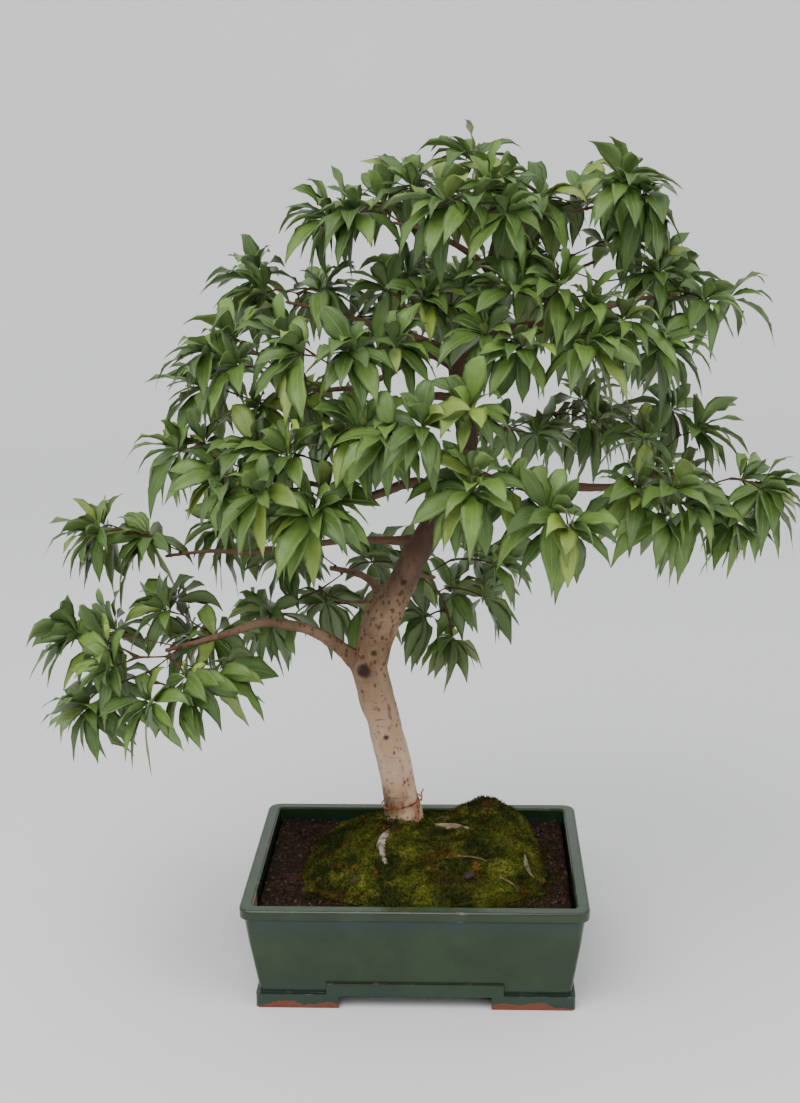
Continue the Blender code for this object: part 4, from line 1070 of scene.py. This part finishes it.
class Canopy:
    """All the sprays: twigs, leaves from the frame, companions and young leaves."""

    cell = 0.035
    nearest = 0.008
    tries = 9
    spread = 0.95
    lift = 0.06
    lengths = (0.72, 1.10)
    widths = (0.31, 0.39)
    young_lengths = (0.32, 0.55)
    young_width = 0.33
    fresh_share = 0.42
    young_share = {True: 0.38, False: 0.06}
    collar_reach = 0.0030
    collar_radii = (0.0032, 0.0014)

    def __init__(self, wood: BVHTree) -> None:
        """Starts with bare wood."""
        self.wood = wood
        self.mould = LeafMould()
        self.leaves: dict[tuple[int, int, int], list[tuple[Vector, BVHTree]]] = {}
        self.draw = random.Random(SEED + 2)
        self.heart = Vector((0.0, 0.0, 0.45))

    def cell_of(self, point: Vector) -> tuple[int, int, int]:
        """Gives the cell that a point lies in."""
        return tuple(math.floor(part / self.cell) for part in point)  # type: ignore[return-value]

    def keep(self, leaf: Leaf, sheet: Optional[BVHTree] = None) -> None:
        """Notes where a leaf is."""
        entry = (leaf.middle, sheet or self.mould.sheet(leaf))
        self.leaves.setdefault(self.cell_of(leaf.middle), []).append(entry)

    def free(self, leaf: Leaf, sheet: BVHTree) -> bool:
        """Tells whether a leaf clears the wood and the other leaves."""
        if sheet.overlap(self.wood):
            return False
        x, y, z = self.cell_of(leaf.middle)
        for dx in (-1, 0, 1):
            for dy in (-1, 0, 1):
                for dz in (-1, 0, 1):
                    for middle, other in self.leaves.get((x + dx, y + dy, z + dz), ()):
                        if (middle - leaf.middle).length < self.nearest or sheet.overlap(other):
                            return False
        return True

    def jitter(self, size: float) -> Vector:
        """Gives a small random step."""
        return Vector([self.draw.uniform(-size, size) for _ in range(3)])

    @staticmethod
    def read(bm: BMesh) -> list[Leaf]:
        """Reads the leaves of a frame spray and takes them off its twig.

        Args:
            bm: the spray, welded.

        Returns:
            Its leaves.
        """
        leaves, gone = [], []
        for tip in bm.verts:
            if len(tip.link_edges) != 4 or min(edge.calc_length() for edge in tip.link_edges) < 0.012:
                continue
            ring = [edge.other_vert(tip) for edge in tip.link_edges]
            pairs = ((a, b) for a in ring for b in ring if a is not b)
            span = max(pairs, key=lambda pair: (pair[0].co - pair[1].co).length)
            flat = (span[0].co + span[1].co) / 2
            spine = sorted((v for v in ring if v not in span), key=lambda v: (v.co - flat).length)
            foot = {edge.other_vert(v) for v in ring for edge in v.link_edges} - set(ring) - {tip}
            if len(spine) != 2 or not foot:
                continue
            middle = (spine[0].co + spine[1].co) / 2
            base = sum((v.co for v in foot), Vector()) / len(foot)
            upper = (spine[0].co - spine[1].co).normalized()
            width = (span[0].co - span[1].co).length * 0.98
            lift = UP * (tip.co - base).length * 0.03
            leaves.append(Leaf(base, middle + lift, tip.co.copy(), upper, width))
            gone += [tip, *ring]
        bmesh.ops.delete(bm, geom=gone, context="VERTS")
        bmesh.ops.holes_fill(bm, edges=[edge for edge in bm.edges if edge.is_boundary])
        return leaves

    def collar(self, bm: BMesh) -> None:
        """Joins a twig to the wood with a short swelling.

        Args:
            bm: the twig.
        """
        near = min(bm.verts, key=lambda vert: self.wood.find_nearest(vert.co)[3])
        end = [vert.co for vert in bm.verts if (vert.co - near.co).length < self.collar_reach]
        start = sum(end, Vector()) / len(end)
        spot = self.wood.find_nearest(start)[0]
        along = (start - spot).normalized()
        low, high = spot - along * 0.0025, start + along * 0.0015
        place = facing((low + high) / 2, along)
        bmesh.ops.create_cone(
            bm, cap_ends=True, segments=8, radius1=self.collar_radii[0], radius2=self.collar_radii[1],
            depth=(high - low).length, matrix=place,
        )

    def light(self, base: Vector) -> Vector:
        """Gives the way that a leaf's upper side turns."""
        outwards = (base - self.heart).normalized()
        return UP * 0.9 + outwards * 0.6 - Vector((0, 0.15, 0)) + self.jitter(0.6)

    def companions(self, leaf: Leaf) -> Iterable[Leaf]:
        """Grows a few more leaves from a leaf's own base.

        Args:
            leaf: the leaf that they grow beside.

        Yields:
            Each new leaf that has room.
        """
        for _ in range(self.tries):
            heading = (leaf.heading + self.jitter(self.spread) + UP * self.lift).normalized()
            length = leaf.length * self.draw.uniform(*self.lengths)
            width = length * self.draw.uniform(*self.widths)
            extra = Leaf.grown(leaf.base, heading, self.light(leaf.base), length, width)
            sheet = self.mould.sheet(extra)
            if self.free(extra, sheet):
                self.keep(extra, sheet)
                yield extra

    def young(self, leaf: Leaf) -> Iterable[Leaf]:
        """Grows a small bright leaf that points up, at the end of a shoot."""
        heading = (leaf.heading * 0.6 + UP * 0.9 + self.jitter(0.6)).normalized()
        length = leaf.length * self.draw.uniform(*self.young_lengths)
        extra = Leaf.grown(leaf.base, heading, self.light(leaf.base), length, length * self.young_width)
        extra.youth = self.draw.uniform(0.65, 1.0)
        sheet = self.mould.sheet(extra)
        if self.free(extra, sheet):
            self.keep(extra, sheet)
            yield extra

    def build(self) -> None:
        """Builds every spray."""
        names = sorted(name for name in frame["nodes"] if name.startswith("foliage_"))
        skin = LeafSkin().material()
        twig_skin = Mottled("twig_skin", "4d3a28", "5f4a33", "59603a", 90, 500, 0.0005, 0.75).material()
        read = []
        for name in names:
            bm = welded(name)
            leaves = self.read(bm)
            self.collar(bm)
            twig = rounded(bm, 1)
            for leaf in leaves:
                self.keep(leaf)
            read.append((name, twig, leaves))
        count = 0
        for name, twig, leaves in read:
            for layer in ("under", "tint", "youth"):
                twig.verts.layers.float.new(layer)
            if not twig.loops.layers.uv.active:
                twig.loops.layers.uv.new("UVMap")
            for face in twig.faces:
                face.material_index = 0
            stems = len(twig.faces)
            fresh = self.draw.random() < self.fresh_share
            grown = list(leaves)
            for leaf in leaves:
                grown += self.companions(leaf)
                if self.draw.random() < self.young_share[fresh]:
                    grown += self.young(leaf)
            if fresh:
                for leaf in leaves:
                    leaf.youth = max(0.0, self.draw.uniform(-0.5, 0.5))
            for leaf in grown:
                self.mould.cast(twig, leaf, self.draw)
            twig.faces.ensure_lookup_table()
            for face in twig.faces[stems:]:
                face.material_index = 1
            count += len(grown)
            add_piece(name.replace("foliage", "leaves"), twig, [twig_skin, skin], Slot.LEAF, [name])
        log.info("%d leaves", count)


# ---- small things ----
@dataclass
class Litter:
    """Wire, stone, chip, dead twigs and fallen leaf, and the hidden things under the soil."""

    def rough(
        self, node: str, name: str, levels: int, relief: float, scale: float, finish: Material, slot: Slot
    ) -> None:
        """Rounds a frame node and roughens its surface.

        Args:
            node: the frame node that it stands for.
            name: what the piece is called.
            levels: how many times to subdivide it.
            relief: how rough it is.
            scale: how fine its roughness is.
            finish: its material.
            slot: the record's slot.
        """
        bm = rounded(welded(node), levels)
        bm.normal_update()
        for vert in bm.verts:
            vert.co += vert.normal * ripple(vert.co, scale) * relief
        add_piece(name, bm, [finish], slot, [node])

    def build(self) -> None:
        """Builds the small things and dresses the hidden ones."""
        wood = Mottled("dry_twig", "7b6248", "9a8262", "b7a58b", 80, 600, 0.0004, 0.8).material()
        stone = Mottled("river_stone", "1e1613", "33251f", "40302a", 90, 700, 0.0004, 0.6, 0.4)
        chip = Mottled("bark_flake", "2a2019", "463527", "5b4735", 110, 600, 0.0008, 0.85)
        dead = Mottled("dead_leaf", "6b6650", "837a5c", "8f7448", 60, 500, 0.0004, 0.6, 0.3)
        self.rough("copper_wire", "copper_ring", 2, 0.0, 1.0, Copper().material(), Slot.COPPER)
        self.rough("stone", "river_stone", 2, 0.0006, 160, stone.material(), Slot.PEBBLE)
        self.rough("bark_chip", "bark_flake", 2, 0.0004, 220, chip.material(), Slot.DARK_BARK)
        self.rough("fallen_leaf", "dropped_leaf", 2, 0.0004, 120, dead.material(), Slot.DRY_LEAF)
        for side in ("left", "middle", "right"):
            self.rough(f"fallen_twig_{side}", f"dead_twig_{side}", 1, 0.0002, 260, wood, Slot.DRY_WOOD)
        mesh = Mottled("drain_mesh", "2f3331", "383d3a", "454a46", 120, 900, 0.0002, 0.5, 0.4).material()
        pumice = Mottled("pumice_bed", "a79b86", "c2b7a2", "8c7f6a", 120, 260, 0.002, 0.95).material()
        hidden = (("drain_mesh_left", mesh), ("drain_mesh_right", mesh), ("drainage_gravel", pumice))
        for node, finish in hidden:
            data = frame["nodes"][node].data
            if not data.materials:
                data.materials.append(finish)
            for index in range(len(data.materials)):
                data.materials[index] = finish


# ---- the studio ----
@dataclass
class Studio:
    """Round pale floor with a low wall, soft light and the camera."""

    room: float = 2.6
    cove: float = 0.6
    spare: float = 2.0
    paper: tuple[str, str] = ("eeeeed", "f2f2f1")
    sky: tuple[float, float, float, float] = (0.93, 0.96, 1.0, 1.0)
    sky_strength: float = 0.9
    lamp_colour: tuple[float, float, float] = (1.0, 0.985, 0.96)
    lamps: tuple[tuple[str, tuple[float, float, float], float, float], ...] = (
        ("key_lamp", (-0.9, -1.3, 2.6), 2.2, 55.0),
        ("side_lamp", (1.8, -0.9, 1.6), 1.4, 12.0),
    )
    aim: tuple[float, float, float] = (0.0, 0.0, 0.4)
    eye: tuple[float, float, float] = (0.053, -1.4164, 0.7969)
    yaw: float = -0.0469
    pitch: float = 0.2573
    roll: float = -0.0140
    lens: float = 50.0

    def floor(self) -> None:
        """Lays a pale floor that rises all round into a low wall."""
        bm = bmesh.new()
        bmesh.ops.create_grid(bm, x_segments=90, y_segments=90, size=self.room + self.spare)
        for vert in bm.verts:
            beyond = vert.co.length - self.room
            if beyond > 0:
                turn = min(math.pi / 2, beyond / self.cove)
                vert.co *= (self.room + self.cove * math.sin(turn)) / vert.co.length
                vert.co.z = self.cove * (1 - math.cos(turn)) + beyond - turn * self.cove
        mesh = bpy.data.meshes.new("studio_sweep")
        bm.to_mesh(mesh)
        bm.free()
        mesh.shade_smooth()
        sweep = bpy.data.objects.new("studio_sweep", mesh)
        bpy.context.scene.collection.objects.link(sweep)
        shader = Shader("studio_paper", 0.85, 0.2)
        mesh.materials.append(shader.done(shader.blend(shader.grain(3, 2), *self.paper)))

    def lights(self) -> None:
        """Hangs one large soft lamp over the front and fills from all round."""
        world = bpy.data.worlds.new("soft_sky")
        world.use_nodes = True
        back = world.node_tree.nodes["Background"]
        back.inputs["Color"].default_value = self.sky
        back.inputs["Strength"].default_value = self.sky_strength
        bpy.context.scene.world = world
        for name, place, size, power in self.lamps:
            lamp = bpy.data.lights.new(name, "AREA")
            lamp.size, lamp.energy = size, power
            lamp.color = self.lamp_colour
            obj = bpy.data.objects.new(name, lamp)
            bpy.context.scene.collection.objects.link(obj)
            obj.matrix_world = facing(place, Vector(self.aim) - Vector(place), "-Z")

    def camera(self) -> None:
        """Sets the camera."""
        level = math.cos(self.pitch)
        ahead = Vector((math.sin(self.yaw) * level, math.cos(self.yaw) * level, -math.sin(self.pitch)))
        right = Vector((math.cos(self.yaw), -math.sin(self.yaw), 0))
        top = right.cross(ahead)
        across = right * math.cos(self.roll) + top * math.sin(self.roll)
        upwards = top * math.cos(self.roll) - right * math.sin(self.roll)
        data = bpy.data.cameras.new("studio_camera")
        data.lens = self.lens
        data.sensor_width = 36.0
        camera = bpy.data.objects.new("studio_camera", data)
        bpy.context.scene.collection.objects.link(camera)
        turn = Matrix((across, upwards, -ahead)).transposed().to_4x4()
        camera.matrix_world = Matrix.Translation(self.eye) @ turn
        bpy.context.scene.camera = camera

    def build(self) -> None:
        """Sets the studio up."""
        self.floor()
        self.lights()
        self.camera()


def main() -> None:
    """Builds every sub-assembly."""
    logging.basicConfig(level=logging.INFO, format="%(name)s %(message)s")
    Studio().build()
    Pot().build()
    moss = Moss().build()
    Ground().build(moss)
    wood = Wood().build(moss)
    Canopy(wood).build()
    Litter().build()


if __name__ == "__main__":
    main()
